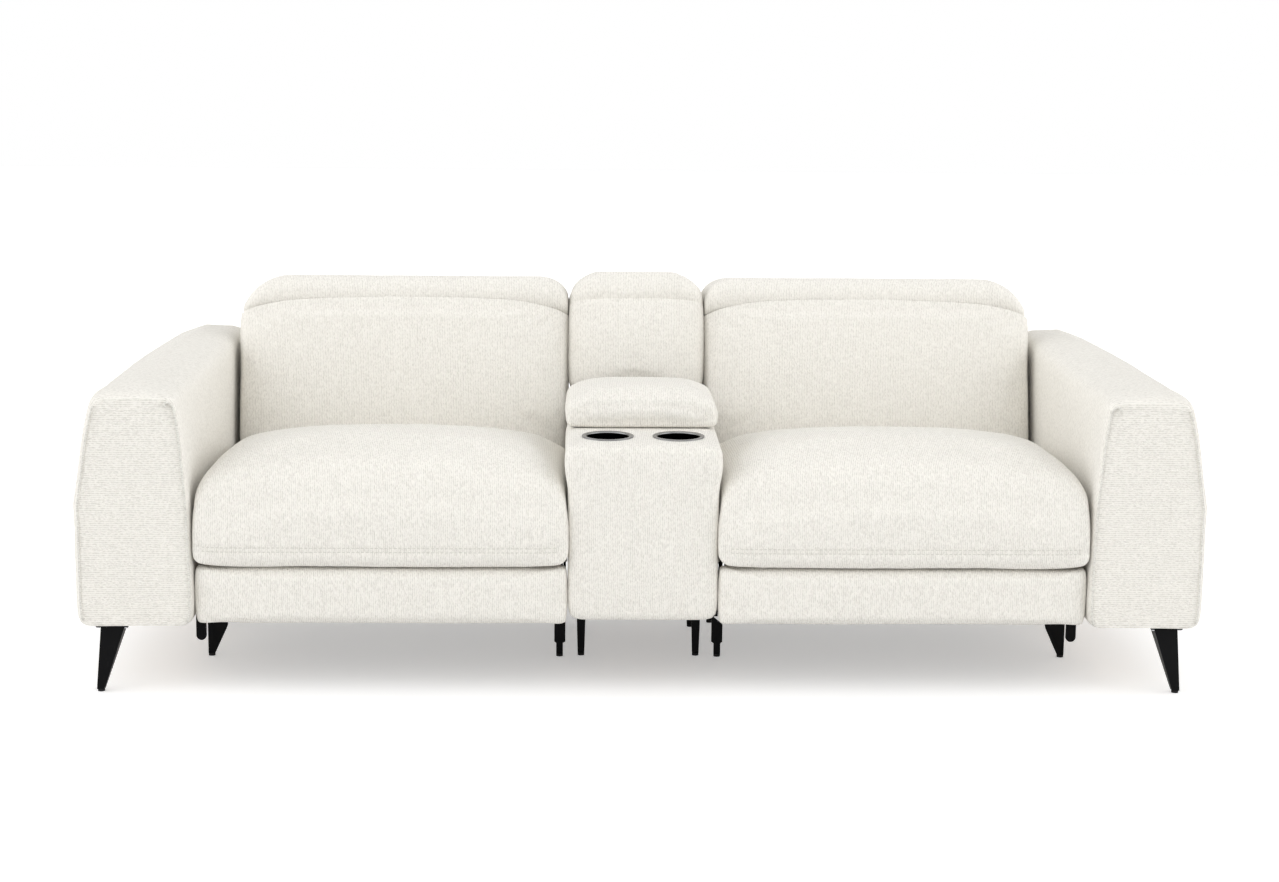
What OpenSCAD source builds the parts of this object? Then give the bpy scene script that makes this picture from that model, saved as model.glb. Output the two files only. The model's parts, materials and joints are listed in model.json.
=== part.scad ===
// Two-seat power recliner sofa with a fixed centre console, millimetres.
// X runs to the viewer's right, Y to the back and Z up. The origin is on the floor,
// under the middle of the sofa.

/* [Overall] */
// Width over the two arms
sofa_w = 2200; // [1900:10:2600]
// Depth from the front of the seats to the back shells
sofa_d = 960; // [900:10:1100]
// Height of the underside above the floor
floor_gap = 139; // [125:1:150]
// Gap between soft pieces that only lie side by side
soft_gap = 4; // [2:0.5:6]

/* [Arms] */
// Width of an arm at its fullest
arm_w = 228; // [180:1:260]
// Height of an arm's top at the front
arm_h = 609; // [570:1:650]
// Rise of an arm's top from front to rear
arm_rise = 9; // [0:1:30]
// Length of an arm
arm_len = 862; // [800:1:900]
// Lean of an arm's inner face towards the outside at its top
arm_lean = 23; // [10:1:30]
// Lean of an arm's outer face towards the inside at its top
arm_outer_lean = 38; // [20:1:60]
// Thickness of an arm's padding
arm_pad = 24; // [15:1:35]
// Thickness of the plywood of an arm
arm_board = 18; // [12:1:25]

/* [Seats] */
// Height of the seam between a seat cushion and its footrest
seat_seam_h = 260; // [250:1:275]
// Height of a seat cushion's crown
seat_h = 498; // [470:1:520]
// Length of a seat cushion from its front to the backrest cushion
seat_d = 568; // [530:1:590]
// Height of a seat frame's underside
seat_frame_h = 288; // [284:1:300]
// Height of a seat frame's rails
seat_rail_h = 52; // [40:1:60]
// Thickness of a seat frame's rails
seat_rail_t = 22; // [18:1:30]
// Number of springs in a seat
seat_spring_n = 5; // [3:1:7]

/* [Backrests] */
// Height of a backrest's top roll
back_h = 743; // [720:1:770]
// Depth of the headrest pivot behind the middle of the sofa
head_pivot_y = 240; // [220:1:260]
// Length of a headrest behind its pivot
head_len = 232; // [180:1:236]
// Half thickness of a headrest
head_r = 42; // [38:1:44]
// Height of the backrest pivot
back_pivot_h = 300; // [292:1:320]
// Depth of the backrest pivot behind the middle of the sofa
back_pivot_y = 150; // [140:1:170]
// Height of the lower edge of a backrest shell
back_shell_h = 215; // [205:1:260]
// Thickness of a backrest shell
back_shell_t = 9; // [6:1:10]

/* [Console] */
// Width of the console
console_w = 286; // [260:2:290]
// Height of the ledge that holds the cups
ledge_h = 499; // [490:1:510]
// Depth of the ledge in front of the lid
ledge_d = 180; // [160:1:200]
// Rise of the lid's top above the ledge
lid_rise = 81; // [66:1:91]
// Height of the console's underside
console_gap = 152; // [140:1:170]
// Rise of the console's back cushion above the backrests' top rolls
console_back_rise = 7; // [0:1:25]
// Outer diameter of a cup holder's flange
cup_flange_d = 102; // [96:1:108]
// Inner diameter of a cup holder
cup_bore_d = 84; // [76:1:86]
// Depth of a cup holder
cup_depth = 72; // [60:1:90]
// Distance between the two cup holders' axes
cup_pitch = 139; // [130:1:150]
// Wall of a cup holder
cup_wall = 1.2; // [0.8:0.1:2]

/* [Footrest mechanism] */
// Gap between a seat's side and its side plate
mech_gap = 4.5; // [3.5:0.5:11.5]
// Thickness of a side plate
plate_t = 4; // [3:0.5:5]
// Thickness of a link
link_t = 5; // [4:0.5:5.5]
// Width of a link
link_w = 24; // [20:1:26]
// Room between two neighbouring links
link_room = 1; // [0.5:0.1:1.5]
// Diameter of a link pin
pin_d = 10; // [8:0.5:12]
// Radial clearance of a pin in its bore
pin_fit = 0.05; // [0.03:0.01:0.1]
// Diameter of the torque tube
tube_d = 22; // [20:1:26]
// Length of a drive link
drive_len = 173.4; // [173:0.1:174]
// Length of a front link
front_len = 238.9; // [238:0.1:240]
// Thickness of a footrest from its board to its face
foot_t = 74; // [70:1:76]

/* [Legs] */
// Width of an arm's leg at its top
leg_top_w = 46; // [40:1:52]
// Width of an arm's leg at its foot
leg_foot_w = 15; // [12:1:20]
// Thickness of the sheet that the seat legs are bent from
leg_sheet_t = 5; // [4:0.5:6]
// Height of a glide under a leg
glide_h = 5; // [4:0.5:8]

/* [Hidden] */
$fn = 48;
over = 1;

fabric = [0.93, 0.92, 0.88];
steel = [0.16, 0.16, 0.17];
bright = [0.72, 0.72, 0.72];
timber = [0.78, 0.64, 0.45];
plastic = [0.10, 0.10, 0.11];

// Main planes
front_y = -sofa_d / 2;
rear_y = sofa_d / 2;
arm_inner_x = sofa_w / 2 - arm_w;
console_x = console_w / 2;
console_pad = 24;
// A seat fills the room between the console and an arm
seat_inner_x = console_x + soft_gap;
seat_outer_x = arm_inner_x - soft_gap / 2;
seat_x = (seat_inner_x + seat_outer_x) / 2;
seat_half_w = (seat_outer_x - seat_inner_x) / 2;
// Width of a seat between the outer faces of its side plates
mech_w = 2 * (seat_half_w - mech_gap);
head_crown_drop = 2;
back_seam_h = back_h - head_r - head_crown_drop;
lid_h = ledge_h + lid_rise;

// A direction in the side view, measured from straight ahead, as [Y, Z]
function ahead(angle) = [-cos(angle), sin(angle)];
function mid(a, b) = (a + b) / 2;

// The footrest linkage at rest, in the side view, as [Y, Z]
drive_rest_angle = -139;
front_rest_angle = 30.3;
guide_bend_angle = 15.3;
front_cross_len = 70;
guide_tail_len = 40.5;
drive_pivot_back = 175.7;
drive_pivot_h = 219.7;
drive_pivot = [front_y + drive_pivot_back, drive_pivot_h];
guide_offset = [-56.4, 44.1];
foot_pin_offset = [-10.4, -58];
drive_end = drive_pivot + drive_len * ahead(drive_rest_angle);
cross_point = drive_end + front_cross_len * ahead(front_rest_angle);
front_end = drive_end + front_len * ahead(front_rest_angle);
guide_pivot = drive_pivot + guide_offset;
guide_angle = atan2(cross_point[1] - guide_pivot[1], guide_pivot[0] - cross_point[0]);
guide_end = cross_point + guide_tail_len * ahead(guide_angle + guide_bend_angle);
control_end = front_end + foot_pin_offset;

// Layers of the linkage, counted from the side plate inwards
layer_step = link_t + link_room;
function layer_x(n) = n == 0 ? 0 : plate_t + link_room + (n - 1) * layer_step;
// The control links lie in the plate's own layer, ahead of and below it
pin_r = pin_d / 2;
bore_r = pin_r + pin_fit;
tube_r = tube_d / 2;

// Soft pieces are lofts through rings of points. A ring is a rounded rectangle whose corners
// follow a power curve, with its own power below and above its widest line.
ring_n = 28;
function sign_pow(v, p) = sign(v) * pow(abs(v), p);
function ring_point(a, half_w, low, wide, high, p_low, p_high) =
    let (s = sin(a), p = s < 0 ? 2 / p_low : 2 / p_high)
    [half_w * sign_pow(cos(a), p), s < 0 ? wide + (wide - low) * sign_pow(s, p)
        : wide + (high - wide) * sign_pow(s, p)];
function ring(half_w, low, wide, high, p_low, p_high) =
    [for (k = [0 : ring_n - 1])
        ring_point(360 * (k + 0.5) / ring_n, half_w, low, wide, high, p_low, p_high)];

// A closed solid through rings; each ring is a list of [u, v] with its station along W.
// Faces are triangles and both ends are closed by a fan around the ring's middle.
module loft(stations, rings) {
    n = ring_n;
    m = len(stations);
    middle = function (r) [for (c = [0, 1]) (max([for (q = r) q[c]]) + min([for (q = r) q[c]])) / 2];
    pts = concat([for (i = [0 : m - 1]) for (q = rings[i]) [q[0], q[1], stations[i]]],
        [[middle(rings[0])[0], middle(rings[0])[1], stations[0]],
         [middle(rings[m - 1])[0], middle(rings[m - 1])[1], stations[m - 1]]]);
    sides = [for (i = [0 : m - 2]) for (k = [0 : n - 1]) let (j = (k + 1) % n)
        each [[i * n + k, (i + 1) * n + k, i * n + j],
              [i * n + j, (i + 1) * n + k, (i + 1) * n + j]]];
    ends = [for (k = [0 : n - 1]) let (j = (k + 1) % n)
        each [[n * m, k, j], [n * m + 1, (m - 1) * n + j, (m - 1) * n + k]]];
    polyhedron(points = pts, faces = concat(sides, ends), convexity = 6);
}

// Mirrors its child to the left (side -1) or keeps it on the right (side 1)
module on_side(side) {
    if (side > 0) children();
    else mirror([1, 0, 0]) children();
}
// Draws its child twice, at both sides of a seat whose middle is at seat_x
module both_sides_of_seat() {
    children();
    translate([2 * seat_x, 0, 0]) mirror([1, 0, 0]) children();
}
// Stands an outline in the side view, [Y, Z], up as a plate from x to x + t
module side_plate(x, t) {
    translate([x, 0, 0]) rotate([90, 0, 90]) linear_extrude(t) children();
}
// A round bar along X through a point of the side view
module bar_x(x, length, point, r) {
    translate([x, point[0], point[1]]) rotate([0, 90, 0]) cylinder(r = r, h = length);
}
// A flat link between two points of the side view, without its bores
module link_outline(a, b, w) {
    d = norm(b - a);
    translate(a) rotate(atan2(b[1] - a[1], b[0] - a[0])) {
        translate([0, -w / 2]) square([d, w]);
        circle(d = w);
        translate([d, 0]) circle(d = w);
    }
}
module box_at(low, high) {
    translate(low) cube(high - low);
}

// Arms. Sizes are for the right arm; the left one is its mirror image.
arm_crown_h = 34;
arm_full_h = 380;
arm_edge = 14;
arm_rear_y = front_y + arm_len;
arm_frame_x = [arm_inner_x + arm_lean + arm_pad,
    sofa_w / 2 - arm_outer_lean - arm_pad];
arm_frame_y = [front_y + arm_pad, arm_rear_y - arm_pad];
arm_frame_top = arm_h - arm_crown_h;
pocket_fit = 0.3;
control_back = 230;
control_y = front_y + control_back;
control_z = 400;
control_size = [19, 112, 50];
control_proud = 1.5;
button_r = 9;
button_pitch = 40;
button_travel = 1.2;
button_fit = 0.3;

// The arm's outline across, shrunk by inset, for a crown at the given height. Above the
// widest line both sides lean towards the middle.
function arm_ring(top, inset) =
    [for (q = ring(1, floor_gap + inset, arm_full_h, top - inset, 16, 8))
        let (s = max(0, (q[1] - arm_full_h) / (top - arm_full_h)),
            inner = arm_inner_x + arm_lean * s * s + inset,
            outer = sofa_w / 2 - arm_outer_lean * s * s - inset)
        [mid(inner, outer) + q[0] * (outer - inner) / 2, q[1]]];
module arm_cover(side) {
    // Shares of the edge's rounding: distance from the end, and inset
    edge_shares = [[0, 1], [0.15, 0.5], [0.45, 0.15], [1, 0]];
    n = len(edge_shares) - 1;
    rows = concat([for (e = edge_shares) [front_y + e[0] * arm_edge, arm_h, e[1] * arm_edge]],
        [for (i = [n : -1 : 0]) let (e = edge_shares[i])
            [arm_rear_y - e[0] * arm_edge, arm_h + arm_rise, e[1] * arm_edge]]);
    color(fabric) on_side(side) difference() {
        mirror([0, 1, 0]) rotate([90, 0, 0])
            loft([for (r = rows) r[0]], [for (r = rows) arm_ring(r[1], r[2])]);
        box_at([arm_frame_x[0] - pocket_fit, arm_frame_y[0] - pocket_fit, 0],
            [arm_frame_x[1] + pocket_fit, arm_frame_y[1] + pocket_fit, arm_frame_top + pocket_fit]);
        box_at([sofa_w / 2 - control_size[0] - control_proud, control_y - control_size[1] / 2,
            control_z - control_size[2] / 2], [sofa_w, control_y + control_size[1] / 2,
            control_z + control_size[2] / 2]);
        box_at([0, connector_y[0] - pocket_fit, connector_z[0] - pocket_fit],
            [arm_frame_x[0], connector_y[1] + pocket_fit, connector_z[1] + pocket_fit]);
    }
}
module arm_frame(side) {
    t = arm_board;
    z0 = floor_gap;
    color(timber) on_side(side) difference() {
        box_at([arm_frame_x[0], arm_frame_y[0], z0],
            [arm_frame_x[1], arm_frame_y[1], arm_frame_top]);
        box_at([arm_frame_x[0] + t, arm_frame_y[0] + t, z0 + t],
            [arm_frame_x[1] - t, mid(arm_frame_y[0], arm_frame_y[1]) - t / 2, arm_frame_top - t]);
        box_at([arm_frame_x[0] + t, mid(arm_frame_y[0], arm_frame_y[1]) + t / 2, z0 + t],
            [arm_frame_x[1] - t, arm_frame_y[1] - t, arm_frame_top - t]);
    }
}

// Brackets that bolt the arms and the console to the seats
connector_y = [-110, -70];
connector_z = [196, 226];
hook_edge = 207;
hook_w = 21;
hook_x = [sofa_w / 2 - hook_edge, sofa_w / 2 - hook_edge + hook_w];
hook_low = 31;
seat_leg_back = 302;
seat_rear_leg_y = 95;
seat_leg_y = [front_y + seat_leg_back, seat_rear_leg_y];
module connector_brackets() {
    plate_x = seat_x + mech_w / 2;
    color(steel) for (side = [-1, 1]) on_side(side) {
        box_at([plate_x, connector_y[0], connector_z[0]],
            [arm_frame_x[0], connector_y[1], connector_z[1]]);
        box_at([console_box_x, connector_y[0], connector_z[0]],
            [seat_x - mech_w / 2, connector_y[1], connector_z[1]]);
        for (y = seat_leg_y) translate([0, y + leg_sheet_t * 1.5, 0]) rotate([90, 0, 0])
            linear_extrude(leg_sheet_t) {
                r = hook_w / 2;
                translate([mid(hook_x[0], hook_x[1]), hook_low + r]) circle(r);
                translate([hook_x[0], hook_low + r]) square([2 * r, floor_gap - hook_low - r]);
            }
    }
}

// Legs
arm_leg_edge = 71;
arm_leg_x = sofa_w / 2 - arm_leg_edge;
arm_leg_splay = 30;
arm_leg_ends = [45, 55];
arm_leg_y = [front_y + arm_leg_ends[0], arm_rear_y - arm_leg_ends[1]];
leg_flange = [62, 62, 3];
leg_slice_t = 0.5;
module arm_leg() {
    top = floor_gap - leg_flange[2];
    t = leg_slice_t;
    hull() {
        translate([-leg_top_w / 2, -leg_top_w / 2, top - t]) cube([leg_top_w, leg_top_w, t]);
        translate([arm_leg_splay - leg_foot_w / 2, -leg_foot_w / 2, glide_h])
            cube([leg_foot_w, leg_foot_w, t]);
    }
    translate([-leg_flange[0] / 2, -leg_flange[1] / 2, top]) cube(leg_flange);
}
module arm_legs() {
    color(steel) for (side = [-1, 1]) on_side(side) for (y = arm_leg_y)
        translate([arm_leg_x, y, 0]) arm_leg();
}
// A seat's outer leg, across, with a gusset that stays below the folded links
plate_out_x = seat_x + mech_w / 2;
plate_in_x = seat_x - mech_w / 2;
hook_room = 4;
gusset_h = [84, 68, 60];
outer_gusset_reach = [14, 12];
leg_shin_w = 14;
inner_leg_w = 23;
inner_foot_x = [5, 19];
ankle_h = [28, 31];
module outer_leg_outline() {
    x0 = plate_out_x - plate_t;
    x1 = hook_x[0] - hook_room;
    polygon([[x1, glide_h], [x1, floor_gap], [x0, floor_gap], [x0, gusset_h[0]],
        [x0 - outer_gusset_reach[0], gusset_h[1]], [x0 - outer_gusset_reach[1], gusset_h[2]],
        [x1 - leg_shin_w, glide_h]]);
}
module inner_leg_outline() {
    x0 = plate_in_x;
    x1 = x0 + inner_leg_w;
    foot = [x0 + inner_foot_x[0], x0 + inner_foot_x[1]];
    polygon([[foot[0], glide_h], [foot[0], ankle_h[0]], [x0, ankle_h[1]], [x0, floor_gap],
        [x0 + plate_t, floor_gap], [x0 + plate_t, gusset_h[0]], [x1, gusset_h[1]],
        [x1, ankle_h[1]], [foot[1], ankle_h[0]], [foot[1], glide_h]]);
}
module seat_legs() {
    t = leg_sheet_t;
    color(steel) for (side = [-1, 1]) on_side(side) for (y = seat_leg_y)
        translate([0, y + t / 2, 0]) rotate([90, 0, 0]) linear_extrude(t) {
            outer_leg_outline();
            inner_leg_outline();
        }
}
console_leg_x = console_x - console_pad;
console_leg_back = 310;
console_rear_leg_y = 60;
console_leg_y = [front_y + console_leg_back, console_rear_leg_y];
console_leg_w = [22, 14];
console_flange = [36, 40, 3];
console_flange_in = 24;
module console_legs() {
    t = leg_sheet_t;
    color(steel) for (side = [-1, 1]) on_side(side) for (y = console_leg_y) {
        translate([0, y + t / 2, 0]) rotate([90, 0, 0]) linear_extrude(t)
            polygon([[console_leg_x - console_leg_w[1] / 2, glide_h],
                [console_leg_x + console_leg_w[1] / 2, glide_h],
                [console_leg_x + console_leg_w[0] / 2, console_box_low],
                [console_leg_x - console_leg_w[0] / 2, console_box_low]]);
        translate([console_leg_x - console_flange_in, y - console_flange[1] / 2,
            console_box_low - console_flange[2]]) cube(console_flange);
    }
}
glide_r = 7;
module glides() {
    outer_x = hook_x[0] - hook_room - leg_shin_w / 2;
    inner_x = plate_in_x + mid(inner_foot_x[0], inner_foot_x[1]);
    color(plastic) for (side = [-1, 1]) on_side(side) {
        for (y = arm_leg_y) translate([arm_leg_x + arm_leg_splay, y, 0])
            cylinder(r = glide_r, h = glide_h);
        for (y = seat_leg_y) for (x = [outer_x, inner_x])
            translate([x, y, 0]) cylinder(r = glide_r, h = glide_h);
        for (y = console_leg_y) translate([console_leg_x, y, 0])
            cylinder(r = glide_r, h = glide_h);
    }
}

// Steel side plates of a seat. Outlines are in the side view, as [Y, Z].
cross_tube_w = 20;
front_tube_back = 42;
front_tube_drop = 4;
front_tube = [drive_pivot[0] + front_tube_back, seat_frame_h - front_tube_drop - cross_tube_w];
rear_tube = [50, 205];
tube_wall = 2;
plate_lobe_r = 22;
plate_nose = 29;
plate_chin = 20;
plate_top_drop = 4;
plate_web_drop = 45;
plate_web_run = 50;
plate_front_foot = [16, 24];
plate_rear_foot = [22, 18];
plate_heel_drop = 10;
plate_shoulder = 60;
bearing_half_w = 24;
bearing_drop = 16;
back_pivot = [back_pivot_y, back_pivot_h];
module plate_outline() {
    y0 = guide_pivot[0] - plate_nose;
    y1 = back_pivot[0];
    low = guide_pivot[1] - plate_chin;
    web = low - plate_web_drop;
    high = seat_frame_h + seat_rail_h - plate_top_drop;
    fore = seat_leg_y[0];
    rear = seat_leg_y[1];
    polygon([[y0, low], [fore - plate_front_foot[0], low], [fore - plate_front_foot[0], floor_gap],
        [fore + plate_front_foot[1], floor_gap], [fore + plate_web_run, web],
        [rear - plate_web_run, web], [rear - plate_rear_foot[0], floor_gap],
        [rear + plate_rear_foot[1], floor_gap], [rear + plate_rear_foot[1], low - plate_heel_drop],
        [y1, back_pivot[1] - plate_lobe_r], [y1, back_pivot[1] + plate_lobe_r],
        [y1 - plate_shoulder, high], [y0, high]]);
    translate(back_pivot) circle(plate_lobe_r);
}
module side_plates(side) {
    color(steel) on_side(side) both_sides_of_seat() {
        side_plate(plate_in_x, plate_t) plate_outline();
        bar_x(plate_in_x + plate_t - over, over + 1.5 * link_room + link_t, guide_pivot, pin_r);
        bar_x(plate_in_x + plate_t - over, over + layer_x(4) - link_room / 2 - plate_t, back_pivot,
            pin_r);
        // Bearing plate of the torque tube, under the seat frame's rail
        side_plate(plate_in_x + layer_x(4), plate_t) difference() {
            translate([drive_pivot[0] - bearing_half_w, drive_pivot[1] - bearing_drop])
                square([2 * bearing_half_w, seat_frame_h - drive_pivot[1] + bearing_drop]);
            translate(drive_pivot) circle(tube_r + pin_fit);
        }
    }
}
module cross_tubes() {
    x0 = plate_in_x + plate_t;
    x1 = plate_out_x - plate_t;
    wall = tube_wall;
    color(steel) for (side = [-1, 1]) on_side(side) for (p = [front_tube, rear_tube])
        difference() {
            box_at([x0, p[0], p[1]], [x1, p[0] + cross_tube_w, p[1] + cross_tube_w]);
            box_at([x0 - over, p[0] + wall, p[1] + wall],
                [x1 + over, p[0] + cross_tube_w - wall, p[1] + cross_tube_w - wall]);
        }
}
motor_size = [90, 66, 62];
motor_ahead = 27;
motor_below = 31;
motor_r = 24;
motor_len = 96;
motor_edge = 4;
motor_strap_x = [10, 50];
motor_strap_len = 20;
module gear_motors() {
    low = [seat_x - motor_size[0] / 2, drive_pivot[0] - motor_ahead, drive_pivot[1] - motor_below];
    high = low + motor_size;
    color(plastic) for (side = [-1, 1]) on_side(side) {
        difference() {
            union() {
                box_at(low, high);
                translate([high[0] - motor_r - motor_edge, high[1], low[2] + motor_r + motor_edge])
                    rotate([-90, 0, 0]) cylinder(r = motor_r, h = motor_len);
            }
            bar_x(low[0] - over, motor_size[0] + 2 * over, drive_pivot, tube_r + pin_fit);
        }
        box_at([low[0] + motor_strap_x[0], high[1] - motor_strap_len, high[2]],
            [low[0] + motor_strap_x[1], front_tube[0] + cross_tube_w, front_tube[1]]);
    }
}

// Moving links of a footrest. Layer 0 lies in the side plate's own plane.
module link(x, t, a, b) {
    side_plate(x, t) link_outline(a, b, link_w);
}
module drive_links(side) {
    x = plate_in_x + layer_x(3);
    color(steel) on_side(side) {
        both_sides_of_seat() {
            link(x, link_t, drive_pivot, drive_end);
            bar_x(x - 1.5 * link_room - link_t, 1.5 * link_room + link_t + over, drive_end, pin_r);
        }
        bar_x(x, 2 * (seat_x - x), drive_pivot, tube_r);
    }
}
module front_links(side) {
    x = plate_in_x + layer_x(2);
    color(steel) on_side(side) both_sides_of_seat() difference() {
        link(x, link_t, drive_end, front_end);
        for (p = [drive_end, cross_point, front_end])
            bar_x(x - over, link_t + 2 * over, p, bore_r);
    }
}
module guide_links(side) {
    x = plate_in_x + layer_x(1);
    color(steel) on_side(side) both_sides_of_seat() {
        difference() {
            union() {
                link(x, link_t, guide_pivot, cross_point);
                link(x, link_t, cross_point, guide_end);
            }
            for (p = [guide_pivot, cross_point]) bar_x(x - over, link_t + 2 * over, p, bore_r);
        }
        bar_x(plate_in_x - link_room / 2, 1.5 * link_room + plate_t + over, guide_end, pin_r);
    }
}
module control_links(side) {
    x = plate_in_x;
    color(steel) on_side(side) both_sides_of_seat() difference() {
        link(x, plate_t, guide_end, control_end);
        for (p = [guide_end, control_end]) bar_x(x - over, plate_t + 2 * over, p, bore_r);
    }
}

// Footrest: a padded board with two steel brackets behind it
foot_board_t = 18;
foot_set_back = 2;
foot_face_y = front_y + foot_set_back;
foot_back_y = front_y + foot_t;
foot_rise = 1;
foot_low = floor_gap + foot_rise;
foot_side_gap = 1;
foot_high = seat_seam_h - soft_gap;
foot_board_inset = 8;
// How far the brackets reach into the board, and past the two pins in height
foot_tab = 6;
module footrest_board(side) {
    x = plate_in_x + layer_x(1);
    color(timber) on_side(side) {
        box_at([seat_x - seat_half_w + foot_board_inset, foot_back_y - foot_board_t,
            foot_low + foot_board_inset], [seat_x + seat_half_w - foot_board_inset, foot_back_y,
            foot_high - foot_board_inset]);
        both_sides_of_seat() {
            side_plate(x, link_t) difference() {
                union() {
                    link_outline(front_end, control_end, link_w);
                    translate([foot_back_y - foot_tab, control_end[1] - foot_tab])
                        square([front_end[0] - foot_back_y, front_end[1] - control_end[1] + 2 * foot_tab]);
                }
                translate(control_end) circle(bore_r);
            }
            bar_x(x + link_t - over, over + 1.5 * link_room + link_t, front_end, pin_r);
        }
    }
}
module footrest_pad(side) {
    depth = foot_back_y - foot_board_t - foot_face_y;
    h = foot_high - foot_low;
    w = seat_half_w - foot_side_gap;
    height_shares = [0, 0.02, 0.08, 0.2, 0.5, 0.8, 0.92, 0.98, 1];
    draw_shares = [0.28, 0.16, 0.06, 0.02, 0, 0.02, 0.06, 0.16, 0.28];
    side_share = 0.6;
    wide_share = 0.62;
    color(fabric) on_side(side) translate([seat_x, 0, 0]) loft(
        [for (s = height_shares) foot_low + s * h],
        [for (d = draw_shares) ring(w - depth * d * side_share, foot_face_y + depth * d,
            foot_face_y + depth * wide_share, foot_face_y + depth, 5, 9)]);
}

// Seat frame, springs and cushion
seat_rail_x = [plate_in_x + plate_t, plate_out_x - plate_t];
seat_board_back = 38;
seat_front_board_y = front_y + seat_board_back;
seat_board_rise = 8;
seat_lip_gap = 2;
seat_lip_y = seat_front_board_y - seat_lip_gap;
seat_lip_rise = 2;
seat_wide_rise = 120;
seat_round = 40;
seat_rear_rail_y = 62;
seat_rest = 0.3;
seat_foam_h = seat_frame_h + seat_rail_h + seat_rest;
module seat_frame(side) {
    t = seat_rail_t;
    top = seat_frame_h + seat_rail_h;
    y0 = seat_front_board_y;
    color(timber) on_side(side) {
        box_at([seat_rail_x[0], y0, seat_seam_h + seat_board_rise], [seat_rail_x[1], y0 + t, top]);
        box_at([seat_rail_x[0], seat_rear_rail_y, seat_frame_h],
            [seat_rail_x[1], seat_rear_rail_y + t, top]);
        for (x = [seat_rail_x[0], seat_rail_x[1] - t])
            box_at([x, y0 + t, seat_frame_h], [x + t, seat_rear_rail_y, top]);
    }
}
spring_w = 46;
spring_pitch = 24;
spring_wire = 4;
module seat_springs() {
    y0 = seat_front_board_y + seat_rail_t;
    run = seat_rear_rail_y - y0;
    turns = floor(run / spring_pitch / 2) * 2;
    step = run / turns;
    gap = (seat_rail_x[1] - seat_rail_x[0]) / (seat_spring_n + 1);
    half = spring_w / 2;
    wire = spring_wire;
    z = seat_frame_h + seat_rail_h - 3 * wire;
    color(bright) for (side = [-1, 1]) on_side(side) for (k = [1 : seat_spring_n])
        translate([seat_rail_x[0] + k * gap, y0, z]) linear_extrude(wire) {
            for (i = [0 : turns - 1]) {
                s = i % 2 == 0 ? 1 : -1;
                translate([s * half - wire / 2, i * step]) square([wire, step]);
            }
            for (i = [1 : turns - 1])
                translate([-half - wire / 2, i * step - wire / 2]) square([spring_w + wire, wire]);
            for (y = [0, run - wire]) translate([y == 0 ? 0 : -half, y]) square([half, wire]);
        }
}
module seat_cushion(side) {
    d = seat_d;
    lip = seat_seam_h + seat_lip_rise;
    foam = seat_foam_h;
    wide = seat_seam_h + seat_wide_rise;
    crown = seat_h - wide;
    lip_share = (seat_lip_y - front_y) / d;
    foam_share = lip_share + over / d;
    // Shares: station of the depth, drawn-in side, raised low edge and dropped widest line of
    // the rounding, and crown of the height above the widest line
    row_shares = [[0, 0.3, 0.15, 1, 0.58], [0.006, 0.15, 0.03, 0.62, 0.59],
        [0.024, 0.05, 0, 0.35, 0.68], [0.05, 0, 0, 0.15, 0.77], [lip_share, 0, 0, 0, 0.77],
        [foam_share, 0, 0, 0, 0.78], [0.14, 0, 0, 0, 0.89], [0.26, 0, 0, 0, 0.98],
        [0.4, 0, 0, 0, 1], [0.62, 0, 0, 0, 0.87], [0.82, 0, 0, 0, 0.71],
        [0.95, 0.1, 0, 0, 0.55], [1, 0.4, 0.3, 0, 0.3]];
    color(fabric) on_side(side) translate([seat_x, 0, 0]) mirror([0, 1, 0]) rotate([90, 0, 0])
        loft([for (r = row_shares) front_y + r[0] * d],
            [for (r = row_shares) let (low = (r[0] <= lip_share ? lip : foam) + r[2] * seat_round,
                line = wide - r[3] * seat_round)
                ring(seat_half_w - r[1] * seat_round, low, line, line + crown * r[4], 7, 2.8)]);
}

// Backrests. The front face leans back at back_lean and passes through back_foot.
back_lean = 17;
back_gap = 34;
back_foot_h = 480;
back_foot = [front_y + seat_d + back_gap, back_foot_h];
back_low_gap = 8;
back_low = seat_frame_h + seat_rail_h + back_low_gap;
back_pad_t = 112;
back_frame_t = 26;
back_side_gap = 6.5;
back_half_w = seat_half_w - back_side_gap;
console_back_proud = 2;
console_back_half_w = console_x + console_back_proud;
back_x = console_back_half_w + soft_gap + back_half_w;
function back_face(z) = back_foot[0] + (z - back_foot[1]) * tan(back_lean);
head_pivot = [head_pivot_y, back_seam_h];
head_fit = 2;
cradle_z = back_seam_h - head_r - head_fit;
shell_gap = 2;
shell_top = cradle_z - shell_gap;
shell_taper = 80;
shell_rear = [rear_y - shell_taper, rear_y];
shell_toe = 4;
head_bracket_in = 105;
head_bracket_x = back_half_w - head_bracket_in;
head_bracket_t = 6;
head_rail_drop = 10;
head_rail_h = 52;
head_rail_z = [shell_top - head_rail_drop - head_rail_h, shell_top - head_rail_drop];
back_stile_w = 44;

back_round = 60;
back_bulge = 14;
cushion_gap = 2;
// Radii of a backrest's upper corners, seen from the front, at the console and at the arm
back_corner_r = [60, 110];
console_corner_r = [60, 60];
// How far a corner of radius r is cut back at a distance from the tangent edge
function corner_cut(t, r) = t >= r ? 0 : r - sqrt(r * r - (r - t) * (r - t));

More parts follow.
